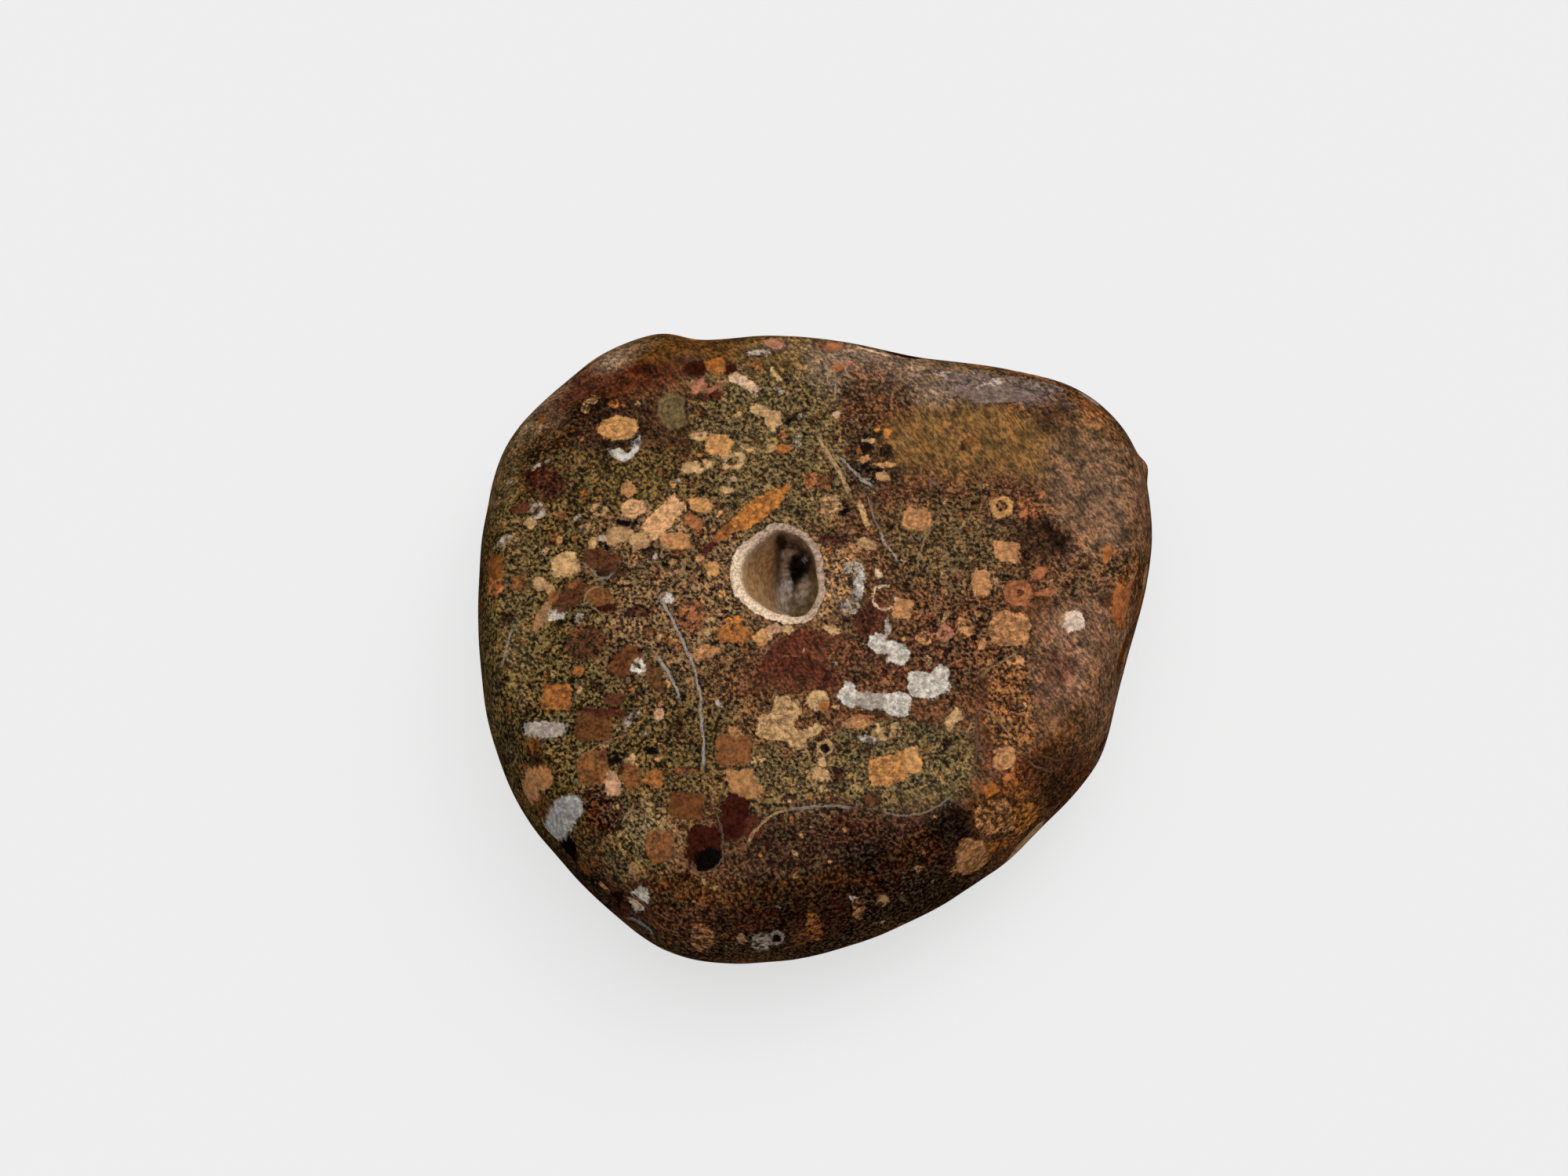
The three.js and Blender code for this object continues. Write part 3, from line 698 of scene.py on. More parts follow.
    Fossil("first white blob, left", 1121, 820, 23, 25, 20, "white", "pebble", "crystal"),
    Fossil("first white blob, right", 1142, 833, 34, 27, -25, "white", "pebble", "crystal"),
    Fossil("grey drip", 1132, 800, 6, 24, 0, "grey white"),
    Fossil("white bar, left", 1084, 887, 26, 28, 40, "white", "pebble", "crystal"),
    Fossil("white bar, middle", 1110, 893, 40, 20, -8, "grey white", "block", "crystal"),
    Fossil("white bar, right", 1143, 898, 36, 28, -5, "white", "pebble", "crystal"),
    Fossil("orange bar, left", 1133, 982, 50, 35, 15, "amber", "block", "grain"),
    Fossil("orange bar, right", 1165, 969, 18, 36, 12, "cream orange", "block"),
    Fossil("dark red in the middle", 1070, 990, 16, 22, 0, "dark red", "oval", "patchy"),
    Fossil("dark red front", 1112, 1018, 26, 18, 0, "red brown", "oval", "patchy"),
    Fossil("second white blob, left", 1178, 874, 42, 34, -10, "white", "pebble", "crystal"),
    Fossil("second white blob, right", 1200, 867, 22, 36, 10, "white", "pebble", "crystal"),
    Fossil("cream triangle", 1216, 918, 24, 14, 40, "cream", "pebble"),
    Fossil("cream triangle, tip", 1221, 911, 9, 14, 10, "cream"),
    Fossil("orange square", 1262, 1008, 20, 18, 35, "deep orange", "block"),
    Fossil("red orange above it", 1291, 995, 23, 26, 0, "red orange", "pebble", "patchy"),
    Fossil("small ringed section", 1281, 967, 28, 28, 0, "orange tan", "pebble", "ringed"),
    Fossil("cap of the ringed section", 1280, 957, 23, 8, 0, "cream"),
    Fossil("orange bit by the square", 1303, 1013, 17, 14, 0, "deep orange", "oval", "patchy"),
    Fossil("black patch", 724, 1082, 21, 34, 20, "black", "pebble"),
    Fossil("tan block", 842, 1079, 36, 44, 0, "brown orange", "pebble", "grain"),
    Fossil("orange brown at the edge", 747, 1107, 24, 15, -20, "brown orange", "oval", "patchy"),
    Fossil("black at the edge", 753, 1122, 24, 12, -30, "black"),
    Fossil("tan at the edge", 766, 1133, 17, 15, 0, "cream orange"),
    Fossil("dark at the edge", 786, 1146, 19, 22, 0, "black brown"),
    Fossil("small white oval", 816, 1147, 24, 32, -20, "white"),
    Fossil("face of the chip", 820, 1186, 42, 20, -38, "slate"),
    Fossil("buff bit front left", 808, 1108, 17, 13, 0, "buff"),
    Fossil("dark drop", 898, 1079, 45, 52, 0, "dark red", "pebble"),
    Fossil("tan streak", 903, 1127, 30, 9, -22, "buff", "oval", "patchy"),
    Fossil("orange brown at the front", 896, 1196, 32, 36, 0, "orange tan", "oval", "patchy"),
    Fossil("tan dot at the front", 945, 1197, 9, 9, 0, "buff"),
    Fossil("pale clump at the front", 971, 1202, 24, 26, 0, "grey white", "oval", "patchy"),
    Fossil("pale ring at the front", 990, 1197, 17, 20, 0, "grey white", "oval", "ring"),
    Fossil("bright red sliver", 1039, 1182, 20, 38, 12, "deep orange", "oval", "patchy"),
    Fossil("bright red sliver, core", 1042, 1178, 9, 22, 12, "bright red orange", "oval", "patchy"),
    Fossil("brown beside the sliver", 1022, 1197, 28, 18, 20, "brown orange", "oval", "patchy"),
    Fossil("mottled clast, left", 1268, 1043, 50, 42, 10, "orange tan", "pebble", "patchy"),
    Fossil("mottled clast, right", 1310, 1046, 36, 46, 0, "orange", "pebble", "patchy"),
    Fossil("red orange at the edge", 1275, 1078, 40, 18, 20, "deep orange", "oval", "patchy"),
    Fossil("orange tan at the edge", 1240, 1094, 41, 47, 0, "orange tan", "pebble", "grain"),
    Fossil("buff bit front", 1172, 1108, 14, 10, 0, "buff", "oval", "patchy"),
    Fossil("pale triangle", 1127, 1146, 15, 12, -30, "buff", "spindle"),
    Fossil("orange bit front", 1095, 1160, 17, 27, 0, "orange tan", "oval", "patchy"),
    Fossil("white dot front", 1087, 1145, 6, 7, 0, "white"),
    Fossil("pale tick front", 1113, 1132, 16, 6, -60, "brown orange", "oval", "patchy"),
]

# Small things that lie on top of other fossils, measured the same way.
DETAILS = [
    Fossil("core of the far left ring", 682, 653, 9, 6, 0, "black"),
    Fossil("brown in the pink bar", 914, 503, 14, 8, 10, "maroon"),
    Fossil("grey in the dark smear", 836, 708, 8, 10, 0, "grey white"),
    Fossil("shade of the cluster", 1105, 571, 13, 12, 0, "black brown"),
    Fossil("second shade of the cluster", 1130, 576, 18, 18, 0, "black", "oval", "patchy"),
    Fossil("orange on the oblong", 733, 744, 20, 9, 30, "brown orange"),
    Fossil("black in the tan clast", 1077, 652, 7, 11, -30, "black"),
    Fossil("orange in the cream", 1050, 901, 14, 14, 0, "deep orange"),
    Fossil("pupil of the eye", 1052, 954, 10, 11, 0, "black"),
    Fossil("black in the dark drop", 903, 1096, 33, 28, 10, "black", "pebble"),
    Fossil("black in the front ring", 991, 1197, 9, 10, 0, "black"),
    Fossil("brown between the blobs", 1126, 838, 8, 8, 0, "red brown"),
    Fossil("red arc over the lens", 1099, 913, 30, 6, -5, "red orange", "oval", "patchy"),
    Fossil("black dot in the white knob", 862, 775, 6, 6, 0, "black"),
    Fossil("dark core of the pair", 1300, 756, 10, 8, 0, "dark red", "oval", "patchy"),
    Fossil("bright part of the right edge", 1431, 795, 19, 13, 0, "deep orange"),
    Fossil("light foot of the small oval", 812, 1153, 11, 14, 0, "pale cream"),
]

# Shell edges cut through: corner points in photo pixels, width in pixels, colour and strength.
Line = namedtuple("Line", "name width colour strength points")
LINES = [
    Line("white crescent", 9, "white", 0.85,
         [(778, 571), (783, 579), (793, 584), (804, 581), (811, 573), (814, 563)]),
    Line("edge of the chip", 3, "grey white", 0.6, [(797, 1170), (812, 1174), (826, 1184), (834, 1196)]),
    Line("long shell", 4, "grey white", 0.8,
         [(841, 762), (855, 785), (868, 812), (880, 838), (888, 862),
          (893, 888), (896, 915), (897, 945), (897, 980)]),
    Line("second shell", 4, "grey white", 0.8, [(838, 834), (843, 846), (853, 860), (860, 876), (867, 895)]),
    Line("cream shell", 6, "cream", 0.75, [(1043, 556), (1054, 573), (1066, 594), (1077, 613), (1083, 630)]),
    Line("shell beside it", 3.5, "grey white", 0.75, [(1070, 578), (1084, 596), (1099, 611), (1117, 622)]),
    Line("shell end", 4, "grey white", 0.8, [(1121, 675), (1130, 692), (1138, 704), (1146, 716)]),
    Line("shell between", 2.5, "grey white", 0.4, [(1104, 628), (1112, 650), (1121, 675)]),
    Line("arc right", 3, "buff", 0.6, [(1190, 674), (1178, 689), (1173, 704), (1169, 728)]),
    Line("front shell, left", 4, "buff", 0.75,
         [(954, 1079), (961, 1063), (972, 1051), (984, 1040), (1004, 1034)]),
    Line("front shell, middle", 3.5, "grey white", 0.5,
         [(1004, 1034), (1025, 1030), (1050, 1028), (1088, 1029)]),
    Line("front shell, right", 3, "grey white", 0.4,
         [(1122, 1034), (1140, 1039), (1160, 1040), (1182, 1036), (1200, 1027), (1216, 1015)]),
    Line("rim of the drop", 3, "grey brown", 0.7,
         [(912, 1030), (918, 1050), (922, 1072), (922, 1096), (911, 1110), (893, 1114), (880, 1102)]),
    Line("edge of the shell section", 3, "grey brown", 0.6,
         [(1243, 903), (1247, 930), (1246, 960), (1240, 990)]),
    Line("arc beside the section", 3, "buff", 0.55, [(1247, 901), (1264, 909), (1278, 924), (1289, 942)]),
    Line("short arc in the section", 4, "cream", 0.6, [(1240, 917), (1238, 929), (1232, 937)]),
    Line("slanting line", 3, "buff", 0.5, [(1247, 864), (1262, 853), (1282, 843), (1300, 832)]),
    Line("right swirl", 3, "purple brown", 0.9, [(1308, 968), (1322, 978), (1345, 985)]),
    Line("second right swirl", 3, "grey brown", 0.7, [(1322, 962), (1345, 970), (1372, 966)]),
    Line("line by the right edge", 3, "pink", 0.6, [(1391, 790), (1402, 810), (1420, 835)]),
    Line("arc by the star", 2.5, "buff", 0.6, [(1367, 760), (1374, 755), (1384, 752)]),
    Line("far left line", 4, "grey white", 0.45, [(655, 794), (649, 815), (645, 835), (639, 852)]),
    Line("low left line", 3, "buff", 0.6, [(660, 962), (654, 978), (647, 996)]),
    Line("tan stripe", 3, "buff", 0.35, [(742, 964), (758, 954), (780, 944), (803, 935)]),
    Line("rim of the dark block", 2.5, "grey white", 0.5,
         [(742, 716), (752, 724), (762, 734), (774, 739), (785, 728)]),
    Line("rim of the orange shell", 2.5, "cream", 0.5, [(742, 770), (747, 757), (757, 749), (768, 746)]),
    Line("foot of the orange shell", 2.5, "cream", 0.4, [(747, 772), (758, 777), (768, 784), (780, 784)]),
    Line("top stripe", 3, "buff", 0.5, [(1035, 443), (1048, 449), (1057, 464)]),
    Line("edge of the olive band", 3, "pink shell", 0.4, [(1061, 470), (1066, 488), (1064, 512)]),
    Line("line in the orange field", 3, "buff", 0.4, [(1263, 598), (1256, 608), (1253, 618)]),
    Line("tick in the red field", 4, "grey white", 0.6, [(1187, 611), (1195, 620)]),
    Line("line by the tan block", 4, "buff", 0.7, [(795, 1047), (804, 1031)]),
    Line("left line of the tan block", 3, "buff", 0.5, [(824, 1030), (825, 1045), (821, 1060)]),
    Line("right line of the tan block", 3, "buff", 0.6, [(861, 1060), (868, 1068), (872, 1078)]),
    Line("light line left", 3, "buff", 0.4, [(764, 577), (772, 573), (781, 570)]),
    Line("line in the left bevel", 3, "grey brown", 0.6, [(692, 566), (704, 552), (714, 538)]),
    Line("line in the maroon", 3, "red orange", 0.6, [(992, 838), (1008, 836), (1020, 838)]),
    Line("edge of the maroon", 3, "cream", 0.5, [(972, 836), (978, 828), (984, 822)]),
    Line("dark under the cream", 4, "black brown", 0.7, [(878, 648), (886, 654), (897, 656)]),
    Line("coral shade", 4, "black brown", 0.7, [(1075, 744), (1084, 740), (1089, 748), (1089, 757)]),
    Line("light front tick", 4, "cream", 0.6, [(1240, 1132), (1262, 1121)]),
    Line("thin line front left", 4, "cream", 0.5, [(862, 1146), (868, 1138)]),
]

# What the wall and the floor of the hollow look like, seen through its mouth, with its light and shade
# painted in: the wall is painted as lit and, like the crystals, lighter to stand in for the light that falls
# into the hollow; its right side and top are in painted shade, and the deep spot, its foot, the gap in the
# crystals and the dark edge of the wall in painted shadow.
PIT_STAINS = [
    Stain("shade at the right", 1018, 730, 60, 130, 0, "pit shade", 1, 0.3, 0),
    Stain("shade at the top", 1014, 690, 56, 26, -15, "pit shade", 0.8, 0.5, 0),
    Stain("crystals, left strip", 1002, 752, 24, 62, 0, "pit crystal", 1, 0.4, 0),
    Stain("crystals, right strip", 1023, 752, 16, 46, -12, "pit crystal", 0.8, 0.5, 0),
    Stain("gap in the crystals", 1013, 752, 6, 34, -10, "pit dark", 0.8, 0.5, 0),
    Stain("deep spot", 1021, 720, 27, 36, -12, "black", 1, 0.2, 0),
    Stain("foot of the deep spot", 1015, 733, 13, 24, -10, "black", 1, 0.3, 0),
    Stain("bright crystal", 1003, 746, 13, 14, 0, "chalk", 1, 0.4, 0),
    Stain("small bright crystal", 1026, 714, 5, 5, 0, "chalk", 0.8, 0.5, 0),
    Stain("red crystal", 996, 692, 14, 26, 0, "dark red", 1, 0.4, 0),
    Stain("second red crystal", 1013, 699, 16, 12, -20, "dark red", 0.9, 0.4, 0),
    Stain("pale arc", 1005, 707, 24, 8, 10, "pit crystal", 1, 0.4, 0),
    Stain("dark edge of the wall", 993, 722, 8, 56, 0, "pit dark", 0.7, 0.6, 0),
    Stain("olive foot", 1028, 774, 44, 20, 0, "grey olive", 0.7, 0.5, 0),
]

# Fossils in the parts of the stone that the photo doesn't show: colours and how often each comes.
HIDDEN_COLOURS = {
    "orange tan": 4, "brown orange": 6, "cream": 3, "cream orange": 3, "red orange": 4, "dark red": 5,
    "buff": 4, "grey white": 2, "umber": 3, "maroon": 4,
}
# The noise of mathutils starts from the time of day unless it is given a seed.
NOISE_SEED = 3
# How far the whole skin is worn back, and how much deeper its dents are, in mm.
SKIN_WEAR = 0.03
DENT_DEPTH = 0.1
# How deep the crystals on the right wall of the hollow are, in mm.
CRYSTAL_DEPTH = 0.45
# A distance in mm that is far outside any fossil.
FAR = 4.0
HIDDEN_COUNT = 2600
HIDDEN_SEED = 11
# Clouds of colour where the photo doesn't show the stone: colour and size in mm.
HIDDEN_STAINS = [
    ("warm brown", 14), ("maroon", 11), ("purple brown", 12), ("dark brown", 7), ("grey olive", 8),
]
# How bright the light makes a flat white surface.
LIGHT_ON_TOP = 1.07

# How square the stains are: 2 is an oval, more is nearer to a block.
STAIN_POWER = 2.4
# How far outside a fossil its edge is still worked out, in photo pixels.
FOSSIL_REACH = 16
# Looks that are rings: their width in mm, and how much of a small fossil it may take up.
RING_WIDTHS = {"ring": 0.42, "thick ring": 0.6, "thin ring": 0.15}
RING_SHARE = 0.7
# How much of the ground shows through a fossil.
PATCHINESS = {"patchy": 1, "grain": 0.45}
PLAIN_PATCHINESS = 0.05
# What a field of fossils holds as one number for each point.
FIELD_NUMBERS = ("edge", "core", "patchy", "rings", "crystal")
# How far from a shell line it is worked out, in mm, and how long its ends fade, in photo pixels.
LINE_REACH = 0.75
LINE_FADE = 8

# The surface: linear tints and colours that the material mixes in.
WARM_TINT = (1.2, 0.98, 0.78, 1)
OLIVE_TINT = (0.93, 1, 0.88, 1)
RUST_TINT = (0.78, 0.64, 0.46, 1)
PALE_GRAIN = (0.23, 0.18, 0.07, 1)
DULL_CRYSTAL = (0.17, 0.16, 0.15, 1)
SPECULAR = 0.22
STREAK_ANGLE = -55
STREAK_SHAPE = (2.6, 1, 1.6)

# Crumbs of fossils between the larger ones.
CRUMB_COUNT = 1500
CRUMB_SEED = 5
CRUMB_COLOURS = {
    "buff": 3, "cream orange": 1, "brown orange": 5, "red orange": 2, "dark red": 3, "deep orange": 2,
    "grey olive": 2, "black brown": 4, "grey white": 1, "orange tan": 2,
}

# Light: how much of the floor's brightness is its own glow, which keeps the shadow as pale as in the photo.
FLOOR_BRIGHTNESS = 0.855
FLOOR_GLOW = 0.68
# Half the side of the floor, and the wall round it, in metres.
FLOOR_REACH = 3
WALL_RADIUS = 2.9
WALL_HEIGHT = 3
WALL_SIDES = 64


def shape_radius(x, y, shape, power):
    """How far out a pixel lies in a tilted oval or block: 0 in its middle, 1 on its outline."""
    angle = math.radians(shape.tilt)
    right = x - shape.x
    up = shape.y - y
    along = (right * math.cos(angle) + up * math.sin(angle)) / (shape.width / 2)
    aside = (up * math.cos(angle) - right * math.sin(angle)) / (shape.height / 2)
    return (np.abs(along) ** power + np.abs(aside) ** power) ** (1 / power)


class FossilField:
    """For each point: how far it is outside the nearest fossil in mm, and what that fossil looks like."""

    def __init__(self, count):
        self.edge = np.full(count, FAR)
        self.colour = np.zeros((count, 3))
        self.core = np.ones(count)
        self.patchy = np.zeros(count)
        self.rings = np.zeros(count)
        self.crystal = np.zeros(count)

    def add(self, where, edge, core, colour, look):
        nearer = edge < self.edge[where]
        where = where[nearer]
        self.edge[where] = edge[nearer]
        self.core[where] = core[nearer]
        self.colour[where] = skin_colour(colour)
        self.patchy[where] = PATCHINESS.get(look, PLAIN_PATCHINESS)
        self.rings[where] = look == "ringed"
        self.crystal[where] = look == "crystal"


def ring_edge(edge, look, size):
    """Turns the edge of a filled shape into that of a ring, for the looks that are rings."""
    if look not in RING_WIDTHS:
        return edge
    width = min(RING_WIDTHS[look], size * RING_SHARE)
    return np.abs(edge + width / 2) - width / 2


def seen_fossils(fossils, pixels, visible):
    """The fossils that were measured in the photo, at each point that the photo shows."""
    field = FossilField(len(pixels))
    for fossil in fossils:
        reach = max(fossil.width, fossil.height) / 2 + FOSSIL_REACH
        near = (np.abs(pixels - (fossil.x, fossil.y)) < reach).all(axis=1)
        where = np.flatnonzero(visible & near)
        x, y = pixels[where].T
        radius = shape_radius(x, y, fossil, OUTLINE_POWERS[fossil.outline])
        size = min(fossil.width, fossil.height) / 2 / PIXELS_PER_MM
        edge = ring_edge((radius - 1) * size, fossil.look, size)
        field.add(where, edge, radius, fossil.colour, fossil.look)
    return field


def names_and_shares(colours):
    """The colours of a table, and how large a part of the whole each one is."""
    return list(colours), np.array(list(colours.values())) / sum(colours.values())


def crumbs():
    """Small bits of fossil, spread at random over the part of the frame that the stone fills."""
    random = np.random.default_rng(CRUMB_SEED)
    names, shares = names_and_shares(CRUMB_COLOURS)
    low, high = FRAME_OF_STONE
    bits = []
    for number in range(CRUMB_COUNT):
        x, y = random.uniform(low, high)
        width, height = random.uniform(4, 15) * random.uniform(0.6, 1, 2)
        colour = random.choice(names, p=shares)
        tilt = random.uniform(-90, 90)
        bits.append(Fossil(f"crumb {number}", x, y, width, height, tilt, colour, "oval", "patchy"))
    return bits


def hidden_fossils(points, hidden):
    """Lumps spread through the whole stone, of which the surface shows sections."""
    field = FossilField(len(points))
    random = np.random.default_rng(HIDDEN_SEED)
    low, high = points.min(axis=0), points.max(axis=0)
    names, shares = names_and_shares(HIDDEN_COLOURS)
    order = np.flatnonzero(hidden)
    tree = kdtree.KDTree(len(order))
    for number in order:
        tree.insert(Vector(points[number]), int(number))
    tree.balance()
    for _ in range(HIDDEN_COUNT):
        middle = random.uniform(low, high)
        sizes = random.uniform(0.5, 1.9) * random.uniform(0.6, 1.3, 3)
        axes, _ = np.linalg.qr(random.normal(size=(3, 3)))
        power = random.choice([2, 2, 3, 5])
        colour = random.choice(names, p=shares)
        look = random.choice(["plain", "patchy", "patchy", "ringed"])
        found = tree.find_range(Vector(middle), float(sizes.max()) + 1)
        if not found:
            continue
        where = np.array([number for _, number, _ in found])
        local = np.abs((points[where] - middle) @ axes / sizes)
        radius = (local ** power).sum(axis=1) ** (1 / power)
        field.add(where, (radius - 1) * sizes.min(), radius, colour, look)
    return field


def measure_lines(pixels, visible):
    """For each point: the signed distance to the nearest shell line in mm, its strength, width and colour."""
    reach = LINE_REACH * PIXELS_PER_MM
    best = np.full(len(pixels), reach)
    side = np.full(len(pixels), 1.0)
    strength = np.zeros(len(pixels))
    width = np.full(len(pixels), 0.1)
    colour = np.zeros((len(pixels), 3))
    for line in LINES:
        corners = np.array(line.points, dtype=float)
        low = corners.min(axis=0) - reach
        high = corners.max(axis=0) + reach
        near = visible & (pixels > low).all(axis=1) & (pixels < high).all(axis=1)
        where = np.flatnonzero(near)
        for start, end in zip(corners[:-1], corners[1:]):
            along = end - start
            length = np.linalg.norm(along)
            offset = pixels[where] - start
            part = np.clip(offset @ along / length ** 2, 0, 1)
            away = offset - part[:, None] * along
            distance = np.linalg.norm(away, axis=1)
            sign = np.sign(along[0] * offset[:, 1] - along[1] * offset[:, 0])
            nearer = distance < best[where]
            chosen = where[nearer]
            best[chosen] = distance[nearer]
            side[chosen] = (sign * distance)[nearer] / PIXELS_PER_MM
            ends = np.minimum(np.linalg.norm(pixels[chosen] - corners[0], axis=1),
                              np.linalg.norm(pixels[chosen] - corners[-1], axis=1))
            fade = smooth_step(0, LINE_FADE, ends)
            strength[chosen] = line.strength * fade * (1 - smooth_step(0.5, 1, best[chosen] / reach))
            width[chosen] = line.width / 2 / PIXELS_PER_MM
            colour[chosen] = skin_colour(line.colour)
    return side, strength, width, colour


def one_colour(points, name):
    """The same colour of the palette for every point."""
    return np.tile(skin_colour(name), (len(points), 1))


def paint_stains(ground, speckle, stains, pixels, amount_of_all):
    """Lays the stains over each other, each one with its own colour and speckle."""
    for stain in stains:
        radius = shape_radius(pixels[:, 0], pixels[:, 1], stain, STAIN_POWER)
        amount = stain.strength * (1 - smooth_step(1 - stain.soft, 1 + stain.soft, radius)) * amount_of_all
        ground += (skin_colour(stain.colour) - ground) * amount[:, None]
        speckle += (stain.speckle - speckle) * amount
    return ground, speckle


def paint_hidden_ground(points):
    """Cloudy stains for the sides and the underside."""
    ground = one_colour(points, "olive")
    speckle = np.full(len(points), 0.9)
    for seed, (name, size) in enumerate(HIDDEN_STAINS, 3):
        cloud = noise_vectors(points, size, seed)[:, 0]
        amount = smooth_step(0.05, 0.3, cloud)
        ground += (skin_colour(name) - ground) * amount[:, None]
        speckle -= 0.15 * amount
    return ground, speckle


def per_vertex(values):
    """Ring-by-ring values as one value for each vertex of the mesh."""
    values = np.asarray(values)
    inside = values[1:-1].reshape(-1, *values.shape[2:])
    return np.concatenate([values[:1, 0], inside, values[-1:, 0]])


def face_corners():
    """The ring and the column of each corner of each face, in two arrays: triangles and quads."""
    column = np.arange(SEGMENTS)
    following = (column + 1) % SEGMENTS
    first = np.zeros(SEGMENTS, dtype=int)
    last = first + RING_COUNT - 1
    inner_fan = np.stack([(first, column), (first + 1, column), (first + 1, following)]).transpose(2, 0, 1)
    outer_fan = np.stack([(last, column), (last - 1, following), (last - 1, column)]).transpose(2, 0, 1)
    quads = []
    for ring in range(1, RING_COUNT - 2):
        here = first + ring
        corners = [(here, column), (here + 1, column), (here + 1, following), (here, following)]
        quads.append(np.stack(corners).transpose(2, 0, 1))
    return np.concatenate([inner_fan, outer_fan]), np.concatenate(quads)


def vertex_numbers(corners):
    ring, column = corners[..., 0], corners[..., 1]
    numbers = 1 + (ring - 1) * SEGMENTS + column
    numbers = np.where(ring == 0, 0, numbers)
    return np.where(ring == RING_COUNT - 1, (RING_COUNT - 2) * SEGMENTS + 1, numbers)


def place_island(flat, centre, radius):
    middle = (flat.reshape(-1, 2).max(axis=0) + flat.reshape(-1, 2).min(axis=0)) / 2
    spread = np.linalg.norm(flat - middle, axis=-1).max()
    return np.array(centre) + (flat - middle) / spread * radius


def unfold(rings):
    """Lays the pit, the top and the underside out flat, each as a round island of the UV map."""
    steps_out = np.linalg.norm(np.diff(rings, axis=0), axis=2)
    reach = np.concatenate([np.zeros((1, SEGMENTS)), np.cumsum(steps_out, axis=0)])
    from_hollow = rings[GIRTH_RING, :, :2] - rings[LAST_RIM_RING, :, :2].mean(axis=0)
    from_hollow /= np.linalg.norm(from_hollow, axis=1, keepdims=True)
    from_middle = rings[GIRTH_RING, :, :2] / np.linalg.norm(rings[GIRTH_RING, :, :2], axis=1, keepdims=True)
    mouth = MOUTH_RADII.mean()
    pit = from_hollow * reach[:LAST_PIT_RING + 1, :, None]
    top = from_hollow * (reach[LAST_PIT_RING:GIRTH_RING + 1] - reach[LAST_PIT_RING] + mouth)[..., None]
    underside = from_middle * (reach[-1] - reach[GIRTH_RING:])[..., None]
    return (place_island(pit, *PIT_ISLAND), place_island(top, *TOP_ISLAND),
            place_island(underside, *UNDERSIDE_ISLAND))


def corner_places(corners, islands):
    """The place in the UV map of each corner of the faces."""
    pit, top, underside = islands
    ring, column = corners[..., 0], corners[..., 1]
    inner = ring.min(axis=1, keepdims=True)
    in_pit = np.broadcast_to(inner < LAST_PIT_RING, ring.shape)
    in_top = np.broadcast_to((inner >= LAST_PIT_RING) & (inner < GIRTH_RING), ring.shape)
    places = underside[np.clip(ring - GIRTH_RING, 0, None), column]
    places[in_top] = top[ring[in_top] - LAST_PIT_RING, column[in_top]]
    places[in_pit] = pit[ring[in_pit], column[in_pit]]
    return places


def make_mesh(rings):
    triangles, quads = face_corners()
    points = per_vertex(rings)
    faces = vertex_numbers(triangles).tolist() + vertex_numbers(quads).tolist()
    mesh = bpy.data.meshes.new("fossil_pebble_looks")
    mesh.from_pydata((points * MM).tolist(), [], faces)
    islands = unfold(rings)
    places = [corner_places(corners, islands).reshape(-1, 2) for corners in (triangles, quads)]
    layer = mesh.uv_layers.new(name="OFBake")
    layer.data.foreach_set("uv", np.concatenate(places).ravel())
    mesh.polygons.foreach_set("use_smooth", np.ones(len(faces), dtype=bool))
    mesh.update()
    return mesh, points


def mesh_normals(mesh):
    normals = np.empty(len(mesh.vertices) * 3)
    mesh.vertices.foreach_get("normal", normals)
    return normals.reshape(-1, 3)


def roughen(mesh, points, in_pit):
    """Wears shallow dents into the skin, and makes the right wall of the pit rough."""
    normals = mesh_normals(mesh)
    dents = DENT_DEPTH * smooth_step(-0.2, 0.6, noise_vectors(points, 6, 1)[:, 0])
    off_the_floor = smooth_step(0, 1, points[:, 2])
    depth = np.where(in_pit, 0, (SKIN_WEAR + dents) * off_the_floor)
    rough = smooth_step(HOLLOW[0] - 0.4, HOLLOW[0] + 0.8, points[:, 0]) * in_pit
    crystals = noise_vectors(points, 1.1, 2)[:, 0] + 0.5 * noise_vectors(points, 0.45, 3)[:, 0]
    below = smooth_step(0.2, 1.5, TOP_HEIGHT - points[:, 2])
    depth = depth + CRYSTAL_DEPTH * rough * below * crystals
    points = points - normals * depth[:, None]
    points[:, 2] = np.clip(points[:, 2], 0, None)
    mesh.vertices.foreach_set("co", (points * MM).ravel())
    mesh.update()
    return points


def store_number(mesh, name, values):
    layer = mesh.attributes.new(name, "FLOAT", "POINT")
    layer.data.foreach_set("value", np.asarray(values, dtype=np.float32))


def store_colour(mesh, name, values):
    layer = mesh.attributes.new(name, "FLOAT_COLOR", "POINT")
    full = np.column_stack([values, np.ones(len(values))]).astype(np.float32)
    layer.data.foreach_set("color", full.ravel())


def store_field(mesh, name, field):
    for part in FIELD_NUMBERS:
        store_number(mesh, f"{name}_{part}", getattr(field, part))
    store_colour(mesh, name + "_colour", field.colour)


def nearer_field(first, second):
    """At each point, takes the field whose fossil is nearer."""
    joined = FossilField(len(first.edge))
    use = first.edge < second.edge
    joined.colour = np.where(use[:, None], first.colour, second.colour)
    for part in FIELD_NUMBERS:
        setattr(joined, part, np.where(use, getattr(first, part), getattr(second, part)))
    return joined


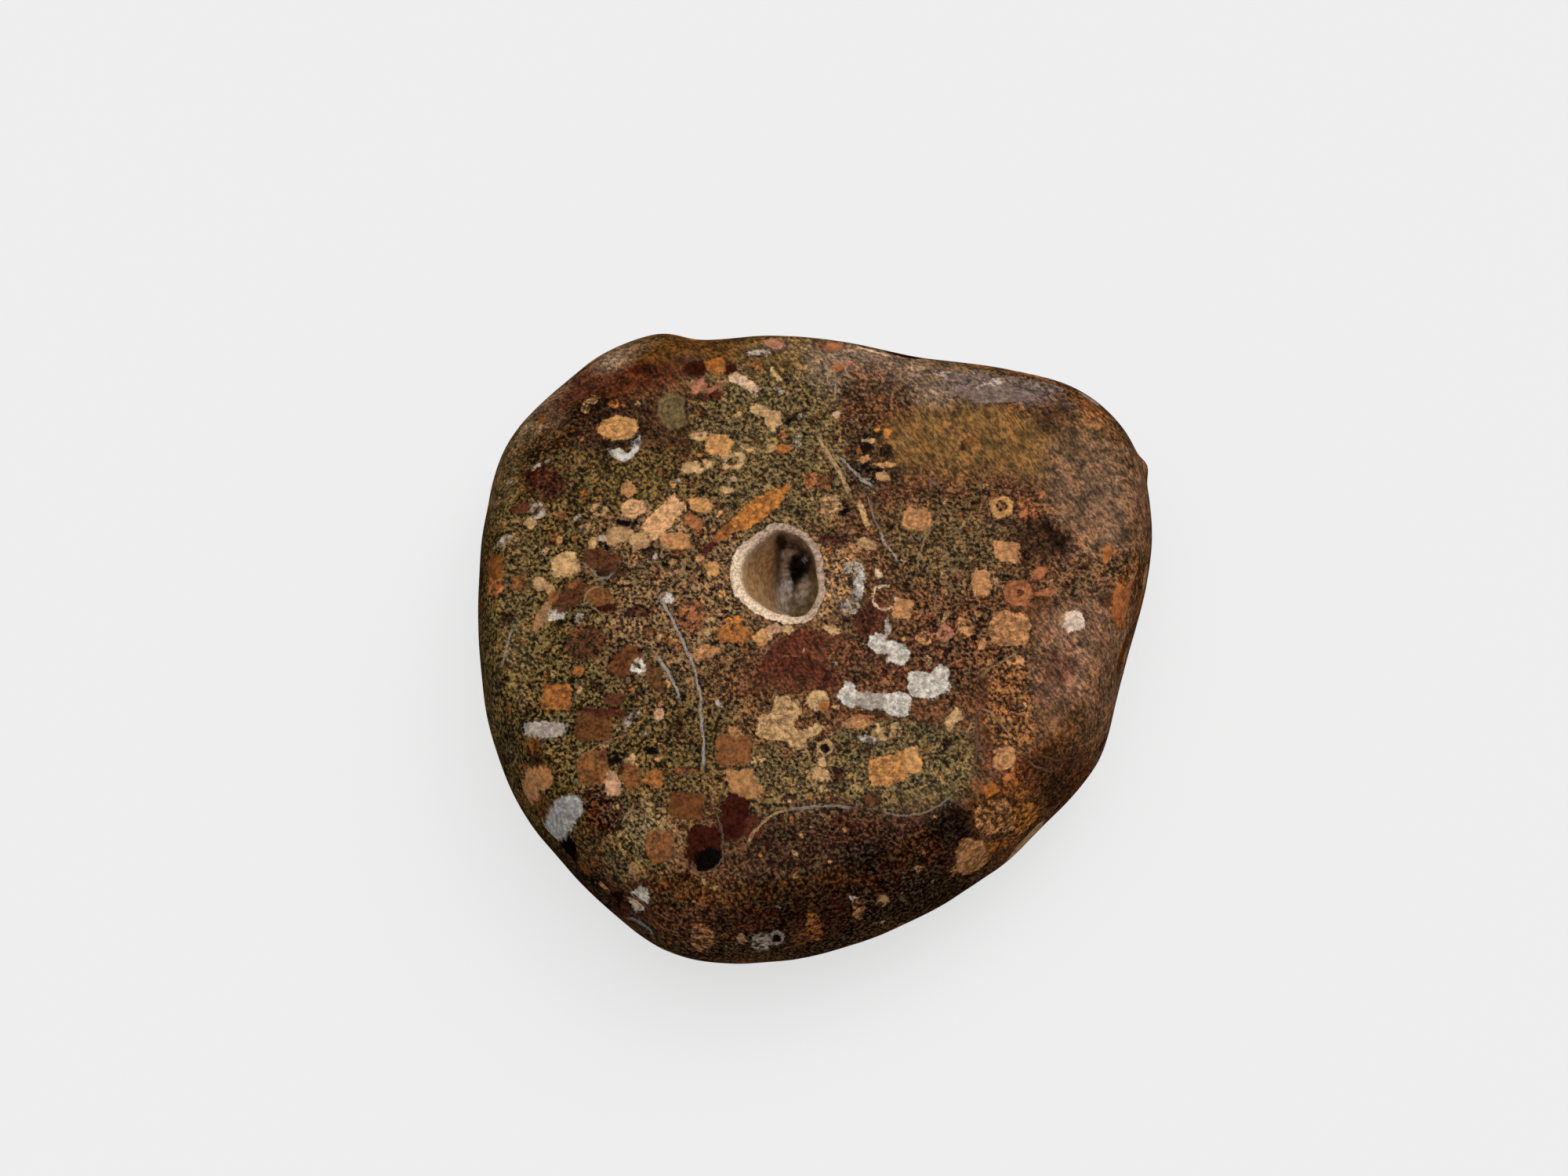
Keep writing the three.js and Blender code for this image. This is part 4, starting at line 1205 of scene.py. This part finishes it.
def paint(mesh, points, in_pit):
    """Stores what the stone's skin looks like on the vertices of the mesh."""
    normals = mesh_normals(mesh)
    _, _, back = camera_axes()
    facing = normals @ back
    visible = np.where(in_pit, 0, smooth_step(0.28, 0.4, facing))
    drift = 0.3 * noise_vectors(points, 6, 9)[:, 0]
    stained = np.where(in_pit, 0, smooth_step(-0.35, 0.1, facing + drift * (1 - visible)))
    pixels = photo_pixels(points)
    wobbled = pixels + 3 * noise_vectors(points, 1.3, 4)[:, :2] + 1.5 * noise_vectors(points, 0.6, 5)[:, :2]
    clouds = 14 * noise_vectors(points, 5, 6)[:, :2] + 7 * noise_vectors(points, 2, 7)[:, :2]
    cloudy = pixels + clouds * (1 + 3 * (1 - smooth_step(-0.1, 0.35, facing)))[:, None]

    ground, speckle = paint_hidden_ground(points)
    ground += (skin_colour("warm brown") - ground) * stained[:, None]
    ground, speckle = paint_stains(ground, speckle, STAINS, cloudy, stained)
    store_colour(mesh, "ground", ground)
    store_number(mesh, "speckle", speckle)

    seen = seen_fossils(FOSSILS, wobbled, visible > 0)
    bits = seen_fossils(crumbs(), wobbled, visible > 0)
    bits.edge = np.maximum(bits.edge + 0.5 * (1 - np.clip(speckle, 0, 1)), 0.3 - seen.edge)
    seen = nearer_field(seen, bits)
    hidden = hidden_fossils(points, (visible < 1) & ~in_pit)
    seen.edge += FAR * (1 - visible)
    hidden.edge += FAR * visible
    store_field(mesh, "fossil", nearer_field(seen, hidden))
    store_field(mesh, "detail", seen_fossils(DETAILS, wobbled, visible > 0.5))

    bent = pixels + 2.5 * noise_vectors(points, 1.6, 8)[:, :2] + 1.5 * noise_vectors(points, 0.5, 10)[:, :2]
    side, strength, width, colour = measure_lines(bent, visible > 0)
    store_number(mesh, "line_side", side)
    store_number(mesh, "line_strength", strength * visible)
    store_number(mesh, "line_width", width)
    store_colour(mesh, "line_colour", colour)

    no_speckle = np.zeros(len(points))
    everywhere = np.ones(len(points))
    # The wall of the hollow with its painted light, shade and shadow.
    wall, _ = paint_stains(one_colour(points, "lit pit wall"), no_speckle, PIT_STAINS, wobbled, everywhere)
    store_colour(mesh, "pit_colour", wall)


def store_shell(mesh, points, rings):
    """How far each point is outside the mouth of the hollow, and how far down in it, in mm."""
    outer = rings[LAST_RIM_RING, :, :2]
    middle = outer.mean(axis=0)
    angles = np.arctan2(*(outer - middle).T[::-1])
    order = np.argsort(angles)
    radii = np.linalg.norm(outer - middle, axis=1)
    offset = points[:, :2] - middle
    around = np.interp(np.arctan2(offset[:, 1], offset[:, 0]), angles[order], radii[order], period=2 * np.pi)
    outside = np.linalg.norm(offset, axis=1) - around
    ring_number = per_vertex(np.broadcast_to(np.arange(RING_COUNT)[:, None], (RING_COUNT, SEGMENTS)))
    outside = np.where(ring_number > GIRTH_RING, 9, outside)
    down = np.where(ring_number < LAST_PIT_RING, rings[LAST_PIT_RING, :, 2].mean() - points[:, 2], 0)
    store_number(mesh, "shell_edge", np.clip(outside, -3, 9))
    store_number(mesh, "pit_depth", down)
    # Painted light: how much of the shell faces the light, so that it is painted lighter there and darker on
    # the far side.
    away_from_light = offset[:, 0] / around + 0.7 * offset[:, 1] / around
    store_number(mesh, "shell_light", smooth_step(0.3, -0.9, away_from_light))
    return ring_number < LAST_PIT_RING


class Graph:
    """Short names for building a material out of nodes."""

    def __init__(self, material):
        material.use_nodes = True
        self.nodes = material.node_tree.nodes
        self.links = material.node_tree.links
        self.shader = self.nodes["Principled BSDF"]
        self.place = self.nodes.new("ShaderNodeTexCoord").outputs["Object"]
        turned = self.nodes.new("ShaderNodeMapping")
        turned.vector_type = "TEXTURE"
        turned.inputs["Rotation"].default_value = (0, 0, math.radians(STREAK_ANGLE))
        turned.inputs["Scale"].default_value = STREAK_SHAPE
        self.links.new(self.place, turned.inputs["Vector"])
        self.streaks = turned.outputs["Vector"]

    def feed(self, socket, value):
        if isinstance(value, bpy.types.NodeSocket):
            self.links.new(value, socket)
        else:
            socket.default_value = value

    def number(self, name):
        node = self.nodes.new("ShaderNodeAttribute")
        node.attribute_name = name
        return node.outputs["Fac"]

    def colour(self, name):
        node = self.nodes.new("ShaderNodeAttribute")
        node.attribute_name = name
        return node.outputs["Color"]

    def math(self, operation, first, second=0.0, third=0.0):
        node = self.nodes.new("ShaderNodeMath")
        node.operation = operation
        for socket, value in zip(node.inputs, (first, second, third)):
            self.feed(socket, value)
        return node.outputs[0]

    def noise(self, size, detail=2.0, roughness=0.5, place=None):
        """Smooth noise from 0 to 1 with lumps of this size in mm."""
        node = self.nodes.new("ShaderNodeTexNoise")
        node.inputs["Scale"].default_value = 1 / (size * MM)
        node.inputs["Detail"].default_value = detail
        node.inputs["Roughness"].default_value = roughness
        self.feed(node.inputs["Vector"], place or self.place)
        return node.outputs["Fac"]

    def ramp(self, value, low, high, start=0.0, end=1.0):
        """Goes smoothly from start to end while the value goes from low to high."""
        node = self.nodes.new("ShaderNodeMapRange")
        node.interpolation_type = "SMOOTHSTEP"
        for name, setting in (("Value", value), ("From Min", low), ("From Max", high),
                              ("To Min", start), ("To Max", end)):
            self.feed(node.inputs[name], setting)
        return node.outputs["Result"]

    def mix(self, amount, first, second, blend="MIX"):
        node = self.nodes.new("ShaderNodeMix")
        node.data_type = "RGBA"
        node.blend_type = blend
        node.clamp_factor = True
        self.feed(node.inputs[0], amount)
        self.feed(node.inputs[6], first)
        self.feed(node.inputs[7], second)
        return node.outputs[2]

    def shade(self, colour, amount):
        """Makes a colour lighter or darker by a factor."""
        node = self.nodes.new("ShaderNodeVectorMath")
        node.operation = "SCALE"
        self.feed(node.inputs[0], colour)
        self.feed(node.inputs["Scale"], amount)
        return node.outputs[0]


def speckled_ground(graph, grain):
    """Black and tan grains on the stained ground, in clouds of warmer and darker stone."""
    ground = graph.colour("ground")
    speckle = graph.number("speckle")
    blotch = graph.noise(1.3, detail=4.0, roughness=0.65)
    warm = graph.ramp(blotch, 0.5, 0.64, 0.0, 0.7)
    ground = graph.mix(warm, ground, WARM_TINT, "MULTIPLY")
    cloud = graph.noise(3.2, detail=3.0, roughness=0.6)
    ground = graph.mix(graph.ramp(cloud, 0.46, 0.36, 0.0, 0.6), ground, OLIVE_TINT, "MULTIPLY")
    ground = graph.shade(ground, graph.ramp(cloud, 0.36, 0.62, 0.82, 1.2))
    ground = graph.shade(ground, graph.ramp(blotch, 0.36, 0.56, 0.55, 1.25))
    fibre = graph.noise(0.3, detail=3.0, roughness=0.75, place=graph.streaks)
    darkest = graph.math("MULTIPLY_ADD", speckle, -0.16, 0.54)
    lightest = graph.math("MULTIPLY_ADD", speckle, 0.2, 1.46)
    ground = graph.shade(ground, graph.ramp(fibre, 0.42, 0.58, darkest, lightest))
    light = graph.math("MULTIPLY", graph.ramp(grain, 0.53, 0.58, 0.0, 0.9), speckle)
    tan = graph.mix(graph.math("MULTIPLY", speckle, 0.45), graph.shade(ground, 2.2), PALE_GRAIN)
    ground = graph.mix(light, ground, tan)
    dark = graph.math("MULTIPLY", graph.ramp(grain, 0.475, 0.45, 0.0, 0.97), speckle)
    return graph.mix(dark, ground, graph.shade(ground, 0.06))


def add_fossils(graph, below, name, grain):
    """Lays one set of fossils over what is below it."""
    patchy = graph.number(name + "_patchy")
    blotch = graph.noise(0.55, detail=4.0, roughness=0.7)
    wobble = graph.math("SUBTRACT", graph.noise(0.6, detail=5.0, roughness=0.8), 0.5)
    edge = graph.math("MULTIPLY_ADD", wobble, 1.2, graph.number(name + "_edge"))
    crisp = graph.ramp(edge, 0.08, -0.08)
    grains_in = graph.math("MULTIPLY", patchy, graph.ramp(blotch, 0.42, 0.54, 0.9, 0.1))
    cover = graph.math("MULTIPLY", crisp, graph.math("SUBTRACT", 1.0, grains_in))
    colour = graph.colour(name + "_colour")
    turns = graph.math("MULTIPLY", graph.number(name + "_core"), 18.0)
    turns = graph.math("MULTIPLY_ADD", blotch, 5.0, turns)
    rings = graph.ramp(graph.math("SINE", turns), -0.2, 0.9)
    rings = graph.math("MULTIPLY", rings, graph.number(name + "_rings"))
    darkest = graph.math("MULTIPLY_ADD", patchy, -0.3, 0.62)
    lightest = graph.math("MULTIPLY_ADD", patchy, 0.3, 1.38)
    tone = graph.ramp(graph.noise(0.7, detail=5.0, roughness=0.8), 0.38, 0.62, darkest, lightest)
    tone = graph.math("MULTIPLY", tone, graph.ramp(grain, 0.4, 0.5, 0.84, 1.06))
    tone = graph.math("MULTIPLY", tone, graph.math("MULTIPLY_ADD", rings, -0.3, 1.0))
    rust = graph.ramp(blotch, 0.46, 0.58, graph.math("MULTIPLY_ADD", patchy, 0.5, 0.3), 0.0)
    colour = graph.mix(rust, colour, RUST_TINT, "MULTIPLY")
    colour = graph.shade(colour, tone)
    crystal = graph.number(name + "_crystal")
    grey = graph.math("MULTIPLY", crystal, graph.ramp(blotch, 0.5, 0.42, 0.1, 0.5))
    colour = graph.mix(grey, colour, DULL_CRYSTAL)
    seam = graph.math("MULTIPLY", graph.ramp(edge, 0.24, 0.05), graph.ramp(blotch, 0.4, 0.52, 0.9, 0.15))
    below = graph.mix(seam, below, graph.shade(below, 0.16))
    return graph.mix(cover, below, colour), cover


def add_lines(graph, below):
    """Thin shell edges, broken here and there, with a dark seam beside them."""
    broken = graph.noise(0.45, detail=3.0, roughness=0.7)
    strength = graph.number("line_strength")
    distance = graph.math("ABSOLUTE", graph.number("line_side"))
    distance = graph.math("SUBTRACT", distance, graph.number("line_width"))
    distance = graph.math("MULTIPLY_ADD", graph.math("SUBTRACT", broken, 0.5), 0.8, distance)
    seam = graph.math("MULTIPLY", graph.ramp(distance, 0.2, 0.06, 0.0, 0.7), strength)
    below = graph.mix(seam, below, graph.shade(below, 0.15))
    amount = graph.ramp(distance, 0.05, -0.06)
    amount = graph.math("MULTIPLY", amount, graph.ramp(broken, 0.38, 0.5, 0.5, 1.0))
    colour = graph.shade(graph.colour("line_colour"), graph.ramp(broken, 0.4, 0.6, 0.75, 1.2))
    return graph.mix(graph.math("MULTIPLY", amount, strength), below, colour)


def add_shell(graph, below):
    """The cream shell wall round the hollow, painted lighter on the side the light falls on and duller, with
    patches of painted shade, on the far side; and the wall and the floor of the hollow inside it.
    """
    wobble = graph.math("MULTIPLY_ADD", graph.noise(0.7, detail=4.0, roughness=0.7), 0.9, -0.45)
    edge = graph.math("ADD", graph.number("shell_edge"), wobble)
    bright_side = graph.number("shell_light")
    edge = graph.math("ADD", edge, graph.math("MULTIPLY_ADD", bright_side, -0.25, 0.25))
    inside = graph.ramp(edge, 0.08, -0.08)
    fibres = graph.noise(0.3, detail=3.0, roughness=0.7)
    # Painted light and painted shade: the shell is lighter on the side the light falls on.
    light = graph.mix(bright_side, shader_colour("shaded shell"), shader_colour("lit shell"))
    shell = graph.shade(light, graph.ramp(fibres, 0.38, 0.6, 0.5, 1.06))
    patchy_shell_shade = graph.math("MULTIPLY", graph.ramp(graph.noise(0.5, detail=4.0, roughness=0.7), 0.5, 0.6, 0.0, 0.7),
                      graph.math("SUBTRACT", 1.0, bright_side))
    shell = graph.mix(patchy_shell_shade, shell, graph.shade(shell, 0.45))
    dark_rim = graph.math("MULTIPLY", graph.ramp(edge, 0.3, 0.08), 0.45)
    below = graph.mix(dark_rim, below, graph.shade(below, 0.35))
    skin = graph.mix(inside, below, shell)
    uneven = graph.math("MULTIPLY_ADD", fibres, 0.8, 0.6)
    deep = graph.ramp(graph.math("MULTIPLY", uneven, graph.number("pit_depth")), 0.1, 1.6)
    cloud = graph.ramp(graph.noise(0.5, detail=4.0), 0.36, 0.64, 0.68, 1.35)
    return graph.mix(deep, skin, graph.shade(graph.colour("pit_colour"), cloud))


def make_limestone():
    material = bpy.data.materials.new("fossil_limestone")
    graph = Graph(material)
    grain = graph.noise(0.36, detail=3.0, roughness=0.65)
    colour = speckled_ground(graph, grain)
    colour, cover = add_fossils(graph, colour, "fossil", grain)
    colour, _ = add_fossils(graph, colour, "detail", grain)
    colour = add_lines(graph, colour)
    colour = add_shell(graph, colour)
    graph.feed(graph.shader.inputs["Base Color"], colour)
    roughness = graph.ramp(graph.noise(0.35, detail=3.0), 0.3, 0.7, 0.26, 0.46)
    graph.feed(graph.shader.inputs["Roughness"], graph.math("MULTIPLY_ADD", cover, -0.04, roughness))
    graph.shader.inputs["Specular IOR Level"].default_value = SPECULAR
    scratches = graph.noise(0.35, detail=4.0, roughness=0.7, place=graph.streaks)
    bump = graph.nodes.new("ShaderNodeBump")
    bump.inputs["Strength"].default_value = 0.5
    bump.inputs["Distance"].default_value = 0.12 * MM
    graph.feed(bump.inputs["Height"], graph.math("MULTIPLY_ADD", grain, 0.5, scratches))
    graph.feed(graph.shader.inputs["Normal"], bump.outputs["Normal"])
    return material


def make_stone():
    rings = stone_rings()
    flat = rings.reshape(-1, 3)
    middle = (flat.min(axis=0) + flat.max(axis=0)) / 2
    low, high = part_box("fossil_pebble")
    rings[..., 0] += (low.x + high.x) / 2 / MM - middle[0]
    rings[..., 1] += (low.y + high.y) / 2 / MM - middle[1]
    mesh, points = make_mesh(rings)
    in_pit = store_shell(mesh, points, rings)
    points = roughen(mesh, points, in_pit)
    paint(mesh, points, in_pit)
    mesh.materials.append(make_limestone())
    stone = bpy.data.objects.new("fossil_pebble_looks", mesh)
    bpy.context.scene.collection.objects.link(stone)
    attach(stone, "root")
    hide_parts("fossil_pebble")


def make_pale_piece(name, corners, faces, albedo, glow):
    """A plain piece of the studio that reflects a little light and glows by itself."""
    material = bpy.data.materials.new("pale_" + name)
    material.use_nodes = True
    shader = material.node_tree.nodes["Principled BSDF"]
    shader.inputs["Base Color"].default_value = (albedo, albedo, albedo, 1)
    shader.inputs["Roughness"].default_value = 1
    shader.inputs["Specular IOR Level"].default_value = 0
    shader.inputs["Emission Color"].default_value = (1, 1, 1, 1)
    shader.inputs["Emission Strength"].default_value = glow
    mesh = bpy.data.meshes.new(name)
    mesh.from_pydata(corners, [], faces)
    mesh.materials.append(material)
    piece = bpy.data.objects.new(name, mesh)
    bpy.context.scene.collection.objects.link(piece)
    piece.visible_glossy = False
    return piece


def make_floor():
    corners = [(x * FLOOR_REACH, y * FLOOR_REACH, 0) for x, y in ((-1, -1), (1, -1), (1, 1), (-1, 1))]
    albedo = (FLOOR_BRIGHTNESS - FLOOR_GLOW) / LIGHT_ON_TOP
    floor = make_pale_piece("floor", corners, [(0, 1, 2, 3)], albedo, FLOOR_GLOW)


def make_backdrop():
    """A pale round wall that only the camera sees, so that low views have a plain background."""
    angles = [2 * math.pi * side / WALL_SIDES for side in range(WALL_SIDES)]
    corners = [(WALL_RADIUS * math.cos(angle), WALL_RADIUS * math.sin(angle), height)
               for height in (0, WALL_HEIGHT) for angle in angles]
    following = [(side + 1) % WALL_SIDES for side in range(WALL_SIDES)]
    faces = [(side, after, after + WALL_SIDES, side + WALL_SIDES) for side, after in enumerate(following)]
    wall = make_pale_piece("backdrop", corners, faces, 0, FLOOR_BRIGHTNESS)
    wall.visible_diffuse = False
    wall.visible_shadow = False


def add_sun(name, energy, spread, elevation, azimuth):
    """A soft distant light; azimuth 0 is the right, 90 the back."""
    data = bpy.data.lights.new(name, "SUN")
    data.energy = energy
    data.angle = math.radians(spread)
    light = bpy.data.objects.new(name, data)
    towards = Vector((math.cos(math.radians(elevation)) * math.cos(math.radians(azimuth)),
                      math.cos(math.radians(elevation)) * math.sin(math.radians(azimuth)),
                      math.sin(math.radians(elevation))))
    light.rotation_euler = towards.to_track_quat("Z", "Y").to_euler()
    light.visible_glossy = False
    bpy.context.scene.collection.objects.link(light)


def add_sheen(name, power, width, height, place):
    """A panel that only glossy reflections see."""
    data = bpy.data.lights.new(name, "AREA")
    data.shape = "RECTANGLE"
    data.size = width
    data.size_y = height
    data.energy = power
    light = bpy.data.objects.new(name, data)
    light.location = place
    light.rotation_euler = Vector(place).to_track_quat("Z", "Y").to_euler()
    light.visible_diffuse = False
    bpy.context.scene.collection.objects.link(light)


def make_light():
    world = bpy.data.worlds.new("studio")
    world.use_nodes = True
    world.node_tree.nodes["Background"].inputs["Color"].default_value = (1, 1, 1, 1)
    world.node_tree.nodes["Background"].inputs["Strength"].default_value = 0.12
    world.cycles_visibility.glossy = False
    bpy.context.scene.world = world
    add_sun("overhead", energy=2.35, spread=60, elevation=82, azimuth=80)
    add_sun("key", energy=0.85, spread=34, elevation=55, azimuth=50)
    add_sheen("back panel", power=0.95, width=0.36, height=0.2, place=(0.2, 0.9, 0.32))


noise.seed_set(NOISE_SEED)
make_camera()
make_floor()
make_backdrop()
make_light()
make_stone()

bpy.context.scene.view_settings.view_transform = "Standard"
